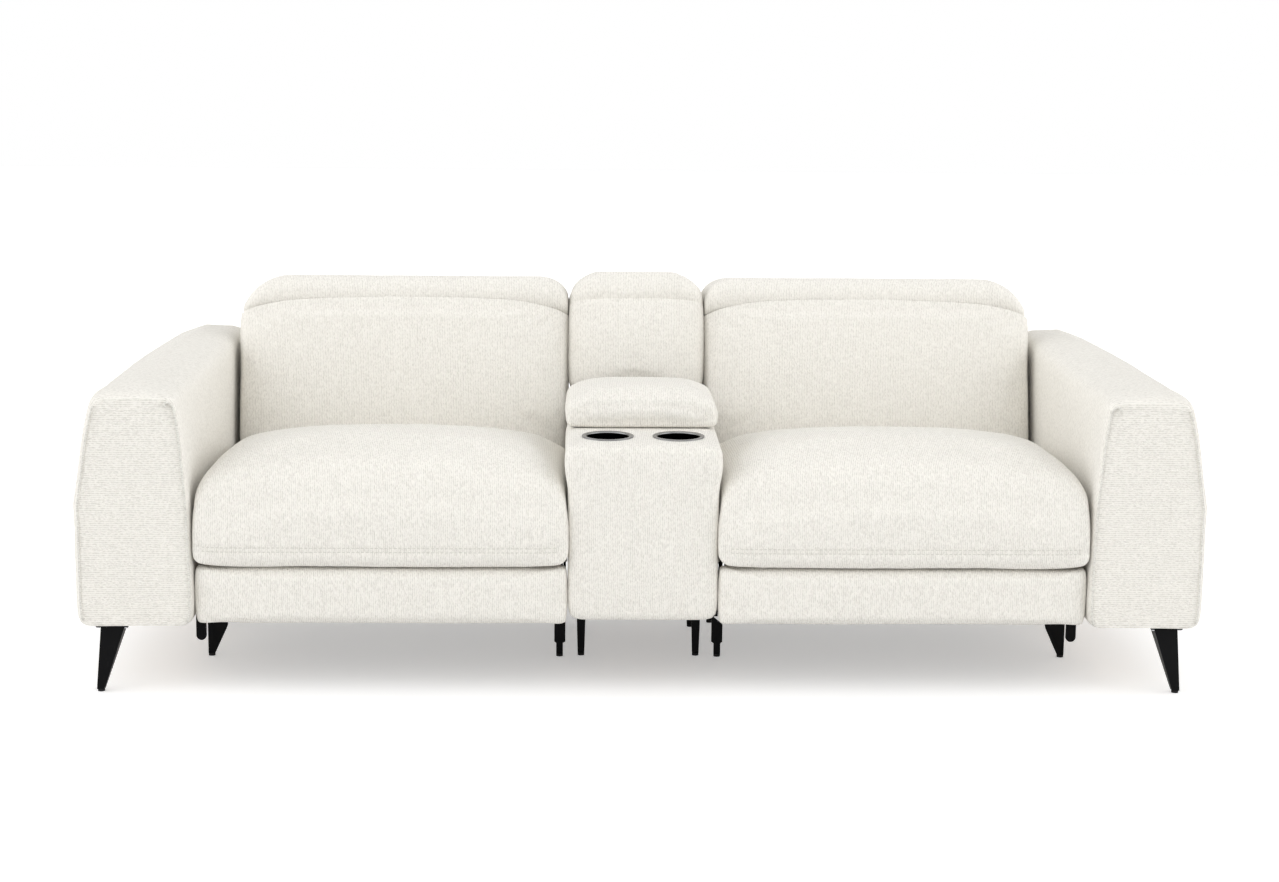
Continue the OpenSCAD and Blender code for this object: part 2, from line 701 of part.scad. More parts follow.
// A back cushion between two heights, with its bulge and its drawn-in ends
module back_block(half_w, low, high, bulge, corner_r) {
    height_shares = [0, 0.015, 0.06, 0.16, 0.34, 0.55, 0.75, 0.88, 0.96, 1];
    draw_shares = [0.5, 0.3, 0.12, 0.03, 0, 0, 0.02, 0.06, 0.14, 0.24];
    side_share = 0.25;
    wide_share = 0.6;
    loft([for (s = height_shares) low + s * (high - low)],
        [for (i = [0 : len(height_shares) - 1]) let (s = height_shares[i],
            z = low + s * (high - low), d = draw_shares[i] * back_round,
            f = back_face(z) - bulge * sin(180 * s) + d,
            cut = [for (r = corner_r) corner_cut(max(0, back_h - z), r)])
            [for (q = ring(half_w - d * side_share - (cut[0] + cut[1]) / 2, f,
                f + (back_pad_t - d) * wide_share, back_face(z) + back_pad_t, 3.4, 10))
                q + [(cut[0] - cut[1]) / 2, 0]]]);
}
module back_cushion(side) {
    slot = head_bracket_t + bracket_room;
    color(fabric) on_side(side) difference() {
        translate([back_x, 0, 0])
            back_block(back_half_w, back_low, back_seam_h - cushion_gap, back_bulge, back_corner_r);
        bar_x(0, sofa_w / 2, head_pivot, head_r + head_fit);
        box_at([0, head_pivot[0], cradle_z], [sofa_w / 2, rear_y, back_h]);
        for (x = [-1, 1] * head_bracket_x) side_plate(back_x + x - slot / 2, slot)
            link_outline(head_bracket_foot, head_pivot, head_bracket_w + 2 * bracket_room);
    }
}
head_bracket_w = 20;
head_bracket_foot = [back_face(mid(head_rail_z[0], head_rail_z[1])) + back_pad_t + back_frame_t / 2,
    mid(head_rail_z[0], head_rail_z[1])];
bracket_room = 1;
head_pin_r = 4;
head_knuckle_r = 8;
head_knuckle_w = 16;
head_knuckle_fit = 2;
head_pin_half = head_bracket_t / 2 + head_knuckle_w + head_knuckle_fit;
back_arm_top = 430;
back_arm_w = 30;
back_arm_in = 16;
back_arm_knee = [76, 40];
back_frame_rise = 10;
back_rail_h = 60;

// The outline of a leaning board between two heights, behind the cushion
module back_board_outline(low, high) {
    polygon([for (c = [[low, 0], [low, back_frame_t], [high, back_frame_t], [high, 0]])
        [back_face(c[0]) + back_pad_t + c[1], c[0]]]);
}
module back_frame(side) {
    arm_x = plate_in_x + layer_x(3);
    z0 = back_low + back_frame_rise;
    z1 = mid(z0, head_rail_z[0]);
    knee = back_pivot + back_arm_knee;
    stile_x = [arm_x + link_t, 2 * seat_x - arm_x - link_t - back_stile_w];
    color(timber) on_side(side) {
        for (x = stile_x) side_plate(x, back_stile_w) back_board_outline(z0, head_rail_z[1]);
        for (r = [[z0, z0 + back_rail_h], [z1, z1 + back_rail_h], head_rail_z])
            side_plate(stile_x[0] + back_stile_w, stile_x[1] - stile_x[0] - back_stile_w)
                back_board_outline(r[0], r[1]);
        both_sides_of_seat() side_plate(arm_x, link_t) difference() {
            union() {
                link_outline(back_pivot, knee, back_arm_w);
                link_outline(knee, [back_face(back_arm_top) + back_pad_t + back_arm_in,
                    back_arm_top], back_arm_w);
            }
            translate(back_pivot) circle(bore_r);
        }
        for (x = [-1, 1] * head_bracket_x) {
            side_plate(back_x + x - head_bracket_t / 2, head_bracket_t)
                link_outline(head_bracket_foot, head_pivot, head_bracket_w);
            bar_x(back_x + x - head_pin_half, 2 * head_pin_half, head_pivot, head_pin_r);
        }
    }
}
module shell_outline(inset) {
    low = back_shell_h + inset;
    high = shell_top - inset;
    front = back_pad_t - 2 * inset;
    polygon([[back_face(back_low) + front - shell_toe, low], [shell_rear[0] - inset, low],
        [shell_rear[1] - inset, high], [back_face(high) + front, high],
        [back_face(back_low) + front, back_low]]);
}
module back_shell(side) {
    t = back_shell_t;
    color(fabric) on_side(side) translate([back_x - back_half_w, 0, 0]) difference() {
        side_plate(0, 2 * back_half_w) shell_outline(0);
        side_plate(t, 2 * (back_half_w - t)) shell_outline(t);
    }
}

// Headrest: a padded steel board on knuckles, lying behind its pivot when folded
head_tail_r = 30;
head_low = head_pivot[1] - head_r;
// Least height of the pad at its rounded ends, and how far its rear edge is drawn in there
head_end_h = 26;
head_tail_draw = 40;
// The pad's section, shrunk towards the foot of its front roll
function head_section(share, draw) =
    let (tail = [head_pivot[0] + head_len - head_tail_r - draw, head_low + head_tail_r])
    [for (k = [0 : ring_n - 1]) let (a = 90 + 360 * (k + 0.5) / ring_n,
        front = k < ring_n / 2, c = front ? head_pivot : tail, r = front ? head_r : head_tail_r,
        p = c + r * [cos(a), sin(a)])
        [head_pivot[0] + (p[0] - head_pivot[0]) * (front ? share : 1),
         head_low + (p[1] - head_low) * share]];
// Stations along one rounded end, as [distance from the end, height share, draw of the rear]
function head_end(r) =
    let (start = r - sqrt(max(0, r * r - pow(max(0, r - 2 * head_r + head_end_h), 2))),
        t0 = max(start, r * 0.04))
    [for (s = [0, 0.05, 0.16, 0.35, 0.65, 1]) let (t = t0 + s * (r - t0))
        [t, 1 - corner_cut(t, r) / (2 * head_r), head_tail_draw * pow(1 - s, 3)]];
module head_block(half_w, corner_r) {
    inner = head_end(corner_r[0]);
    outer = head_end(corner_r[1]);
    n = len(outer);
    rows = concat([for (e = inner) [e[0] - half_w, e[1], e[2]]],
        [for (i = [n - 1 : -1 : 0]) [half_w - outer[i][0], outer[i][1], outer[i][2]]]);
    rotate([90, 0, 90]) loft([for (r = rows) r[0]], [for (r = rows) head_section(r[1], r[2])]);
}
head_board_t = 4;
head_turn = 72;
head_swept = [230, 302];
head_swept_step = 8;
head_board_end = 62;
head_bracket_reach = norm(head_bracket_foot - head_pivot);
module headrest_pad(side) {
    slot = head_bracket_t + 2 * bracket_room;
    room = head_pin_half + 2 * head_knuckle_fit;
    half_t = head_board_t / 2 + pocket_fit;
    color(fabric) on_side(side) difference() {
        translate([back_x, 0, 0]) head_block(back_half_w, back_corner_r);
        for (x = [-1, 1] * head_bracket_x) {
            bar_x(back_x + x - room, 2 * room, head_pivot, head_bracket_w / 2 + head_knuckle_fit);
            side_plate(back_x + x - slot / 2, slot) translate(head_pivot) {
                polygon([[0, 0], for (a = [head_swept[0] : head_swept_step : head_swept[1]])
                    head_bracket_reach * [cos(a), sin(a)]]);
                for (a = [0, -head_turn]) rotate(a) link_outline([0, 0],
                    head_bracket_foot - head_pivot, head_bracket_w + 2 * bracket_room);
            }
        }
        box_at([back_x - head_bracket_x - 2 * room, head_pivot[0], head_pivot[1] - half_t],
            [back_x + head_bracket_x + 2 * room,
            head_pivot[0] + head_len - head_board_end + head_knuckle_fit, head_pivot[1] + half_t]);
    }
}
module headrest_frame(side) {
    y0 = head_pivot[0] + head_knuckle_r - head_knuckle_fit;
    w = head_bracket_x + head_pin_half + head_knuckle_fit;
    gap = head_bracket_t / 2 + bracket_room;
    half_t = head_board_t / 2;
    color(steel) on_side(side) {
        difference() {
            box_at([back_x - w, y0, head_pivot[1] - half_t],
                [back_x + w, head_pivot[0] + head_len - head_board_end, head_pivot[1] + half_t]);
            for (x = [-1, 1] * head_bracket_x)
                bar_x(back_x + x - gap, 2 * gap, head_pivot, head_bracket_reach);
        }
        for (x = [-1, 1] * head_bracket_x) for (start = [gap, -gap - head_knuckle_w])
            difference() {
                bar_x(back_x + x + start, head_knuckle_w, head_pivot, head_knuckle_r);
                bar_x(back_x + x + start - over, head_knuckle_w + 2 * over, head_pivot,
                    head_pin_r + pin_fit);
            }
    }
}

// Console: a wooden box with a bin under the lid, in a padded cover
console_box_x = console_x - console_pad;
console_box_low = console_gap;
console_box_back = 35;
console_box_y = [front_y + console_box_back, 95];
console_set_back = 15;
console_front_y = front_y + console_set_back;
console_rear_gap = 8;
console_rear_y = back_face(ledge_h) - console_rear_gap;
console_round = 16;
console_round_len = 40;
box_t = 15;
bin_back = 50;
bin_y = [front_y + ledge_d + bin_back, 30];
bin_low = 330;
cup_back = 110;
cup_y = front_y + cup_back;
cup_fit = 0.5;
cup_board_drop = 15;
cup_board_top = ledge_h - cup_board_drop;
rim_rise = 2.2;
rim_top = ledge_h + rim_rise;
cup_flange_t = 2.5;
cup_r = cup_bore_d / 2;
cup_x = cup_pitch / 2;
module console_box() {
    t = box_t;
    y0 = bin_y[0] - t;
    color(timber) difference() {
        union() {
            box_at([-console_box_x, console_box_y[0], console_box_low],
                [console_box_x, console_box_y[1], cup_board_top]);
            box_at([-console_box_x, y0, cup_board_top - over], [console_box_x, bin_y[1] + t, rim_top]);
        }
        box_at([-console_box_x + t, bin_y[0], bin_low],
            [console_box_x - t, bin_y[1], rim_top + over]);
        box_at([-console_box_x + t, console_box_y[0] + t, console_box_low - over],
            [console_box_x - t, y0, cup_board_top - t]);
        box_at([-console_box_x + t, bin_y[0], console_box_low - over],
            [console_box_x - t, console_box_y[1] - t, bin_low - t]);
        for (s = [-1, 1]) translate([s * cup_x, cup_y, 0])
            cylinder(r = cup_r + cup_wall + cup_fit, h = ledge_h);
    }
}
module console_cover() {
    round = console_round;
    // Shares of the rounding's length along Y, and of its size at the sides, below and above
    front_shares = [[0, 1, 0.75, 1], [0.08, 0.56, 0.38, 0.56], [0.22, 0.19, 0.12, 0.25],
        [0.5, 0, 0, 0.06], [1, 0, 0, 0]];
    rear_shares = [[0.25, 0, 0, 0], [0, 0.25, 0.19, 0.25]];
    rows = concat([for (r = front_shares) [console_front_y + r[0] * console_round_len, r]],
        [for (r = rear_shares) [console_rear_y - r[0] * console_round_len, r]]);
    fit = pocket_fit;
    color(fabric) difference() {
        mirror([0, 1, 0]) rotate([90, 0, 0]) loft([for (r = rows) r[0]],
            [for (r = rows) ring(console_x - r[1][1] * round, console_gap + r[1][2] * round,
                mid(console_gap, ledge_h), ledge_h - r[1][3] * round, 16, 16)]);
        box_at([-console_box_x - fit, console_box_y[0] - fit, 0],
            [console_box_x + fit, console_box_y[1] + fit, cup_board_top + fit]);
        box_at([-console_box_x - fit, bin_y[0] - box_t - fit, 0],
            [console_box_x + fit, bin_y[1] + box_t + fit, lid_h]);
        box_at([-sofa_w, connector_y[0] - fit, connector_z[0] - fit],
            [sofa_w, connector_y[1] + fit, connector_z[1] + fit]);
        for (s = [-1, 1]) translate([s * cup_x, cup_y, 0])
            cylinder(r = cup_r + cup_wall + cup_fit, h = lid_h);
    }
}
module cup_holder(side) {
    r = cup_r + cup_wall;
    color(bright) translate([side * cup_x, cup_y, ledge_h]) difference() {
        union() {
            cylinder(r = cup_flange_d / 2, h = cup_flange_t, $fn = 96);
            translate([0, 0, -cup_depth]) cylinder(r = r, h = cup_depth, $fn = 96);
        }
        translate([0, 0, cup_wall - cup_depth])
            cylinder(r = cup_r, h = cup_depth + cup_flange_t, $fn = 96);
    }
}
hinge_y = 57;
hinge_rise = 9;
hinge_axis = [hinge_y, ledge_h + hinge_rise];
hinge_r = 6;
hinge_pin_r = 3;
hinge_len = 220;
hinge_knuckle_w = 40;
hinge_leaf_t = 2;
hinge_leaf_len = 30;
hinge_web = [1, 3];
hinge_lift = 0.2;
hinge_tongue_t = 3;
module lid_hinge() {
    low = ledge_h + hinge_lift;
    w = hinge_knuckle_w;
    color(bright) {
        bar_x(-hinge_len / 2, hinge_len, hinge_axis, hinge_pin_r);
        for (x = [-hinge_len / 2, hinge_len / 2 - w]) {
            bar_x(x, w, hinge_axis, hinge_r);
            box_at([x, hinge_axis[0] - hinge_web[0], low],
                [x + w, hinge_axis[0] + hinge_leaf_len, low + hinge_leaf_t]);
            box_at([x, hinge_axis[0] - hinge_web[0], low],
                [x + w, hinge_axis[0] + hinge_web[1], hinge_axis[1]]);
        }
    }
}
lid_front_gap = 15;
lid_y = [front_y + ledge_d + lid_front_gap, 50];
lid_half_w = 152;
lid_board_t = 12;
lid_fit = 0.3;
lid_board_low = rim_top + lid_fit;
lid_board_ends = [12, 6];
lid_board_y = [lid_y[0] + lid_board_ends[0], lid_y[1] - lid_board_ends[1]];
lid_board_side = 14;
lid_board_x = lid_half_w - lid_board_side;
lid_pad_lift = rim_rise + lid_fit;
lid_round = 16;
lid_hinge_room = 9;
module lid_board() {
    half = hinge_len / 2 - hinge_knuckle_w - over;
    color(timber) {
        box_at([-lid_board_x, lid_board_y[0], lid_board_low],
            [lid_board_x, lid_board_y[1], lid_board_low + lid_board_t]);
        difference() {
            union() {
                bar_x(-half, 2 * half, hinge_axis, hinge_r);
                box_at([-half, lid_board_y[1] - over, hinge_axis[1] - hinge_tongue_t / 2],
                    [half, hinge_axis[0], hinge_axis[1] + hinge_tongue_t / 2]);
            }
            bar_x(-hinge_len, 2 * hinge_len, hinge_axis, hinge_pin_r + pin_fit);
        }
    }
}
module lid_pad() {
    low = ledge_h + lid_pad_lift;
    h = lid_h - low;
    len = lid_y[1] - lid_y[0];
    // Shares: station of the length, drawn-in side and raised low edge of the rounding, and
    // crown of the height
    row_shares = [[0, 1, 0.62, 0.62], [0.008, 0.62, 0.25, 0.72], [0.03, 0.25, 0.06, 0.8],
        [0.07, 0, 0, 0.87], [0.16, 0, 0, 0.95], [0.32, 0, 0, 1], [0.6, 0, 0, 1], [0.8, 0, 0, 0.9],
        [0.92, 0.12, 0, 0.68], [1, 0.5, 0, 0.36]];
    wide_share = 0.34;
    fit = pocket_fit;
    color(fabric) difference() {
        mirror([0, 1, 0]) rotate([90, 0, 0]) loft([for (r = row_shares) lid_y[0] + r[0] * len],
            [for (r = row_shares) let (lift = r[2] * lid_round)
                ring(lid_half_w - r[1] * lid_round, low + lift,
                    low + wide_share * h * r[3] + lift / 2, low + h * r[3], 8, 2.6)]);
        box_at([-lid_board_x - fit, lid_board_y[0] - fit, 0],
            [lid_board_x + fit, lid_board_y[1] + fit, lid_board_low + lid_board_t + fit]);
        box_at([-hinge_len / 2, lid_board_y[1] - over, 0],
            [hinge_len / 2, rear_y, hinge_axis[1] + lid_hinge_room]);
    }
}

// The console's own backrest is fixed
console_stile_in = 22;
console_stile_foot = 60;
console_stile_bend = [60, 40];
console_cushion_rise = 4;
rear_foot_y = 135;
rear_foot_low = 195;
rear_foot_in = 10;
module console_back_frame() {
    half = console_back_half_w - console_stile_in;
    w = back_stile_w;
    foot = console_rear_y;
    low = console_gap + back_shell_t;
    pad = back_pad_t;
    frame = back_pad_t + back_frame_t;
    top = head_rail_z[1];
    color(timber) {
        for (x = [-half, half - w]) {
            side_plate(x, w) polygon([[foot, low], [foot + back_frame_t, low],
                [back_face(ledge_h) + frame, ledge_h - console_stile_bend[0]],
                [back_face(top) + frame, top], [back_face(top) + pad, top],
                [back_face(ledge_h) + pad, ledge_h - console_stile_bend[1]],
                [foot, low + console_stile_foot]]);
        }
        side_plate(-half + w, 2 * (half - w)) back_board_outline(head_rail_z[0], head_rail_z[1]);
    }
}
module console_back_cushion() {
    color(fabric) {
        back_block(console_back_half_w, ledge_h + console_cushion_rise, back_seam_h + cushion_gap,
            back_bulge / 2, console_corner_r);
        translate([0, 0, console_back_rise]) head_block(console_back_half_w, console_corner_r);
    }
}
module console_rear_panel() {
    t = back_shell_t;
    w = console_back_half_w;
    heel = shell_rear[0] - rear_foot_in;
    hole = inlet_size + 2 * pocket_fit * [1, 1, 1];
    color(fabric) difference() {
        union() {
            side_plate(-w, 2 * w) shell_outline(0);
            side_plate(-w, 2 * w) polygon([[rear_foot_y, console_gap], [heel, console_gap],
                [shell_rear[0], back_shell_h + t], [rear_foot_low, back_shell_h + t]]);
        }
        side_plate(t - w, 2 * (w - t)) shell_outline(t);
        translate(inlet_at) cube(hole, center = true);
        side_plate(t - w, 2 * (w - t)) polygon([[console_box_y[1], console_gap + t],
            [heel - t, console_gap + t], [shell_rear[0] - t, back_shell_h + 2 * t],
            [console_box_y[1], back_shell_h + 2 * t]]);
    }
}

// Controls, inlet and screws
control_face_x = sofa_w / 2 - control_proud;
button_len = 8;
module control_plates() {
    depth = control_size[0];
    z0 = control_z - control_size[2] / 2;
    y0 = control_y - control_size[1] / 2;
    color(plastic) for (side = [-1, 1]) on_side(side) difference() {
        box_at([sofa_w / 2 - control_size[0] - control_proud + pocket_fit, y0 + pocket_fit,
            z0 + pocket_fit], [control_face_x, y0 + control_size[1] - pocket_fit,
            z0 + control_size[2] - pocket_fit]);
        for (s = [-1, 1])
            translate([control_face_x - button_len, control_y + s * button_pitch / 2, control_z])
                rotate([0, 90, 0]) cylinder(r = button_r + button_fit, h = depth);
    }
}
module button(side, place) {
    sunk = button_travel + button_fit;
    color(bright) on_side(side)
        translate([control_face_x - button_len + sunk, control_y + place * button_pitch / 2,
            control_z]) rotate([0, 90, 0])
            cylinder(r = button_r, h = button_len - sunk + control_proud);
}
inlet_size = [34, 18, 24];
inlet_r = 4;
inlet_floor = 4;
inlet_sunk = 8;
inlet_rise = 40;
inlet_at = [0, shell_rear[0] - inlet_sunk, console_gap + inlet_rise];
module power_inlet() {
    color(plastic) translate(inlet_at) difference() {
        cube(inlet_size, center = true);
        rotate([-90, 0, 0]) translate([0, 0, inlet_floor - inlet_size[1] / 2])
            cylinder(r = inlet_r, h = inlet_size[1]);
    }
}
screw_r = 3.5;
screw_head_t = 2;
screw_edge = 4;
leg_screw_rise = 14;
module screws() {
    out = [leg_flange[0] / 2 - screw_edge, leg_flange[1] / 2 - screw_edge];
    low = floor_gap - leg_flange[2] - screw_head_t;
    color(bright) for (side = [-1, 1]) on_side(side) {
        for (y = arm_leg_y) for (dx = [-1, 1]) for (dy = [-1, 1])
            translate([arm_leg_x + dx * out[0], y + dy * out[1], low])
                cylinder(r = screw_r, h = screw_head_t);
        for (y = seat_leg_y)
            bar_x(plate_out_x, screw_head_t, [y, floor_gap + leg_screw_rise], screw_r);
    }
}

arm_frame(-1);  // left_arm_frame
arm_frame(1);  // right_arm_frame
arm_cover(-1);  // left_arm_cover
arm_cover(1);  // right_arm_cover
arm_legs();
seat_legs();
console_legs();
glides();
connector_brackets();
side_plates(-1);  // left_side_plates
side_plates(1);  // right_side_plates
cross_tubes();
seat_frame(-1);  // left_seat_frame
seat_frame(1);  // right_seat_frame
seat_springs();
seat_cushion(-1);  // left_seat_cushion
seat_cushion(1);  // right_seat_cushion
gear_motors();
console_box();
console_cover();
cup_holder(-1);  // left_cup_holder
cup_holder(1);  // right_cup_holder
console_back_frame();
console_back_cushion();
console_rear_panel();
control_plates();
power_inlet();
screws();
lid_hinge();
lid_board();
lid_pad();
button(-1, -1);  // left_open_button
button(-1, 1);  // left_close_button
button(1, -1);  // right_open_button
button(1, 1);  // right_close_button
drive_links(-1);  // left_drive_links
drive_links(1);  // right_drive_links
guide_links(-1);  // left_guide_links
guide_links(1);  // right_guide_links
front_links(-1);  // left_front_links
front_links(1);  // right_front_links
control_links(-1);  // left_control_links
control_links(1);  // right_control_links
footrest_board(-1);  // left_footrest_board
footrest_board(1);  // right_footrest_board
footrest_pad(-1);  // left_footrest_pad
footrest_pad(1);  // right_footrest_pad
back_frame(-1);  // left_back_frame
back_frame(1);  // right_back_frame
back_cushion(-1);  // left_back_cushion
back_cushion(1);  // right_back_cushion
back_shell(-1);  // left_back_shell
back_shell(1);  // right_back_shell
headrest_frame(-1);  // left_headrest_frame
headrest_frame(1);  // right_headrest_frame
headrest_pad(-1);  // left_headrest_pad
headrest_pad(1);  // right_headrest_pad
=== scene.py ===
# %% [markdown]
# # A power recliner sofa with a fixed console
# The sofa's frames, links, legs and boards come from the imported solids, and they stay as
# they are. What is soft is made again here, finer and with real cloth on it. Everything is
# in metres in Blender. The sizes in this lesson are written in millimetres, as an
# upholsterer would, and are turned into metres when a mesh is made.

import json
import math
import bpy
import bmesh
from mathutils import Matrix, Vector, noise
from mathutils.bvhtree import BVHTree


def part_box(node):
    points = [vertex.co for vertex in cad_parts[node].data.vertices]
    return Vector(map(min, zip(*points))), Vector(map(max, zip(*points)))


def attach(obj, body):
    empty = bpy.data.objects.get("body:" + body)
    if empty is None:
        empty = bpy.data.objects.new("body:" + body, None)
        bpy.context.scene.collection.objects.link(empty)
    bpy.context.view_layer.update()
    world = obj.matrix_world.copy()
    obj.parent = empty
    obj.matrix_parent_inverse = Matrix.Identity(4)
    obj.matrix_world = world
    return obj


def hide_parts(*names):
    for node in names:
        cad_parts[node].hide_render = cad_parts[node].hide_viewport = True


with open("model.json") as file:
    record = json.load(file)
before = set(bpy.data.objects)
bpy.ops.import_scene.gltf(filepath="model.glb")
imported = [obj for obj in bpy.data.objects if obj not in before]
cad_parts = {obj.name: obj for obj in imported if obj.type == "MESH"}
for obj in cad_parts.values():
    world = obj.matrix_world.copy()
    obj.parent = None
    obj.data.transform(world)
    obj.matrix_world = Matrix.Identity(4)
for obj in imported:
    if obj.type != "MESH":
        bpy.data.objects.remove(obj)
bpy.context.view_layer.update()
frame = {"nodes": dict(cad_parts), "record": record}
MM = 0.001

# %% [markdown]
# ## The camera
# The picture was taken from ahead and a little above, slightly left of the middle, with a
# long lens. A pinhole solved from the sofa's legs, seats and top gives the place, the
# three turns and the lens. The camera is made first, so every piece can be judged from
# the same place.

# %% Set up the camera
lens = bpy.data.cameras.new("camera")
lens.sensor_width = 36
lens.lens = 66.33
camera = bpy.data.objects.new("camera", lens)
camera.location = (-0.138, -4.914, 1.337)
camera.rotation_euler = [math.radians(turn) for turn in (79.448, -0.56, -1.545)]
bpy.context.scene.collection.objects.link(camera)
bpy.context.scene.camera = camera
bpy.context.scene.view_settings.view_transform = "Standard"
print("camera at", tuple(camera.location))

# %% [markdown]
# ## Small helpers for node materials
# A material is a short chain of nodes: where a point is, a pattern there, and what the
# pattern does to colour and relief. Two helpers keep each finish to a few lines. Numbers
# that are the same all over go straight on the shader's own sockets.


# %% Material helpers
def add_node(tree, kind, settings=(), **inputs):
    """Adds a shader node. An input is named, or i0, i1 and so on give its number."""
    node = tree.nodes.new("ShaderNode" + kind)
    for name, value in dict(settings).items():
        setattr(node, name, value)
    for name, value in inputs.items():
        socket = node.inputs[int(name[1:]) if name[0] == "i" and name[1:].isdigit() else name]
        if isinstance(value, bpy.types.NodeSocket):
            tree.links.new(value, socket)
        else:
            socket.default_value = value
    return node


def start_material(name, color, roughness, metallic=0.0, sheen=0.0):
    material = bpy.data.materials.new(name)
    material.use_nodes = True
    material.diffuse_color = (*color, 1)
    tree = material.node_tree
    shader = tree.nodes["Principled BSDF"]
    shader.inputs["Base Color"].default_value = (*color, 1)
    shader.inputs["Roughness"].default_value = roughness
    shader.inputs["Metallic"].default_value = metallic
    shader.inputs["Sheen Weight"].default_value = sheen
    place = add_node(tree, "TexCoord").outputs
    return material, tree, shader, place


def math_node(tree, operation, a, b=0.0, c=0.0):
    return add_node(tree, "Math", {"operation": operation}, i0=a, i1=b, i2=c).outputs[0]


def blend_values(tree, factor, a, b):
    return add_node(tree, "Mix", {"data_type": "FLOAT"}, i0=factor, i2=a, i3=b).outputs[0]


def blend_colors(tree, factor, a, b):
    colors = [(*c, 1) if isinstance(c, tuple) else c for c in (a, b)]
    node = add_node(tree, "Mix", {"data_type": "RGBA"}, i0=factor, i6=colors[0], i7=colors[1])
    return node.outputs[2]


def stretch(tree, vector, scale):
    return add_node(tree, "Mapping", Vector=vector, Scale=scale).outputs[0]


def noise_value(tree, vector, scale, detail=2.0, rough=0.5):
    node = add_node(tree, "TexNoise", Vector=vector, Scale=scale, Detail=detail, Roughness=rough)
    return node.outputs["Fac"]


def remap(tree, value, low, high, to_low=0.0, to_high=1.0):
    return add_node(tree, "MapRange", i0=value, i1=low, i2=high, i3=to_low, i4=to_high).outputs[0]


def relief(tree, shader, height, distance, strength=1.0):
    bump = add_node(tree, "Bump", Strength=strength, Distance=distance, Height=height)
    tree.links.new(bump.outputs[0], shader.inputs["Normal"])


print("material helpers ready")

# %% [markdown]
# ## The woven cloth
# The cover is a thick off-white weave with ribs about 3.6 mm apart. Each rib is broken into
# short slubs of lighter and darker yarn, and the grooves between the ribs are given a darker
# colour as painted shade. On seats, backs and fronts the ribs run up and down. On the arms'
# front panels the cloth is turned, so they run across. A wave texture gives the ribs, a
# stretched noise the slubs, and a coarser noise the blotches. The cloth changes its rib axis
# with the surface's own normal, because a cover is cut from several pieces. The wave is made
# from object coordinates, so no unwrapping is needed.

# %% Cloth
RIB, PANEL_RIB, PIPING_RIB = 3.6 * MM, 4.2 * MM, 2.4 * MM
SLUBS_PER_METRE = 170
WAVE_TURNS = 20
AXES = "XYZ"
# The cloth's own colour, and the darker colour that its low relief takes: painted shade in the
# grooves between the ribs, mixed with the slubs' darker yarn
CLOTH_LIGHT, CLOTH_GROOVE_SHADE_AND_DARK_YARN = (0.895, 0.871, 0.815), (0.70, 0.677, 0.623)


def weave_height(tree, vector, across, pitch=RIB):
    """The relief of ribs that repeat across one axis, from 0 to 1."""
    ribs = add_node(tree, "TexWave", {"bands_direction": AXES[across]}, Vector=vector,
                    Scale=math.tau / WAVE_TURNS / pitch, Distortion=2.2, Detail=2.0,
                    **{"Detail Scale": 1.6})
    slub_scale = [SLUBS_PER_METRE] * 3
    slub_scale[across] = 1.3 / pitch
    slubs = noise_value(tree, stretch(tree, vector, slub_scale), 1.0, 3.0, 0.6)
    slubs = remap(tree, slubs, 0.34, 0.66)
    return math_node(tree, "MULTIPLY_ADD", ribs.outputs["Fac"], 0.45,
                     math_node(tree, "MULTIPLY", slubs, 0.55))


def make_cloth(name, axis, light=CLOTH_LIGHT, groove_shade_and_dark_yarn=CLOTH_GROOVE_SHADE_AND_DARK_YARN, pitch=RIB):
    """axis 0, 1 or 2 is what the ribs repeat across. None picks X or Y from the normal."""
    material, tree, shader, place = start_material(name, light, 0.94, sheen=0.12)
    shader.inputs["Sheen Roughness"].default_value = 0.5
    shader.inputs["Specular IOR Level"].default_value = 0.25
    where = place["Object"]
    if axis is None:
        normal = add_node(tree, "SeparateXYZ", Vector=place["Normal"]).outputs[0]
        sideways = remap(tree, math_node(tree, "ABSOLUTE", normal), 0.6, 0.8)
        height = blend_values(tree, sideways, weave_height(tree, where, 0, pitch),
                              weave_height(tree, where, 1, pitch))
    else:
        height = weave_height(tree, where, axis, pitch)
    blotches = remap(tree, noise_value(tree, where, 110.0, 2.0), 0.3, 0.7, -0.06, 0.06)
    # The low parts of the relief take the darker colour: painted shade in the grooves, with the
    # slubs' darker yarn and random blotches
    shade = add_node(tree, "Clamp", Value=math_node(tree, "ADD", height, blotches)).outputs[0]
    shade = remap(tree, shade, 0.12, 0.62)
    tree.links.new(blend_colors(tree, shade, groove_shade_and_dark_yarn, light), shader.inputs["Base Color"])
    relief(tree, shader, height, 1.4 * MM, 0.8)
    return material


cloth = make_cloth("woven_cloth", None)
arm_cloth = make_cloth("woven_cloth_arm", 1)
panel_cloth = make_cloth("woven_cloth_panel", 2, pitch=PANEL_RIB)
# The piping's second colour is also painted shade in its grooves, with its darker yarn
piping_cloth = make_cloth("piping_cloth", 2, (0.87, 0.855, 0.80), (0.58, 0.56, 0.51), PIPING_RIB)
thread, tree, shader, place = start_material("thread", (0.66, 0.645, 0.59), 0.7)
twist = noise_value(tree, place["Object"], 1800.0)
tree.links.new(blend_colors(tree, twist, (0.58, 0.565, 0.51), (0.72, 0.705, 0.65)),
               shader.inputs["Base Color"])
relief(tree, shader, twist, 0.1 * MM)
print("cloths:", [m.name for m in (cloth, arm_cloth, panel_cloth, piping_cloth, thread)])

# %% [markdown]
# ## Metals, wood and plastic
# The legs and links are steel with a satin black powder coat, which has a fine orange-peel
# relief and slightly paler patches. The springs, hinge and screws are zinc plated, and the
# cups are brushed round their axis. The boards are plywood, whose plies show on their edges.
# Each finish varies a little in roughness, because an even one looks like a drawing.


# %% Hard finishes
COAT_SHINE = 0.08
PLY = 3 * MM


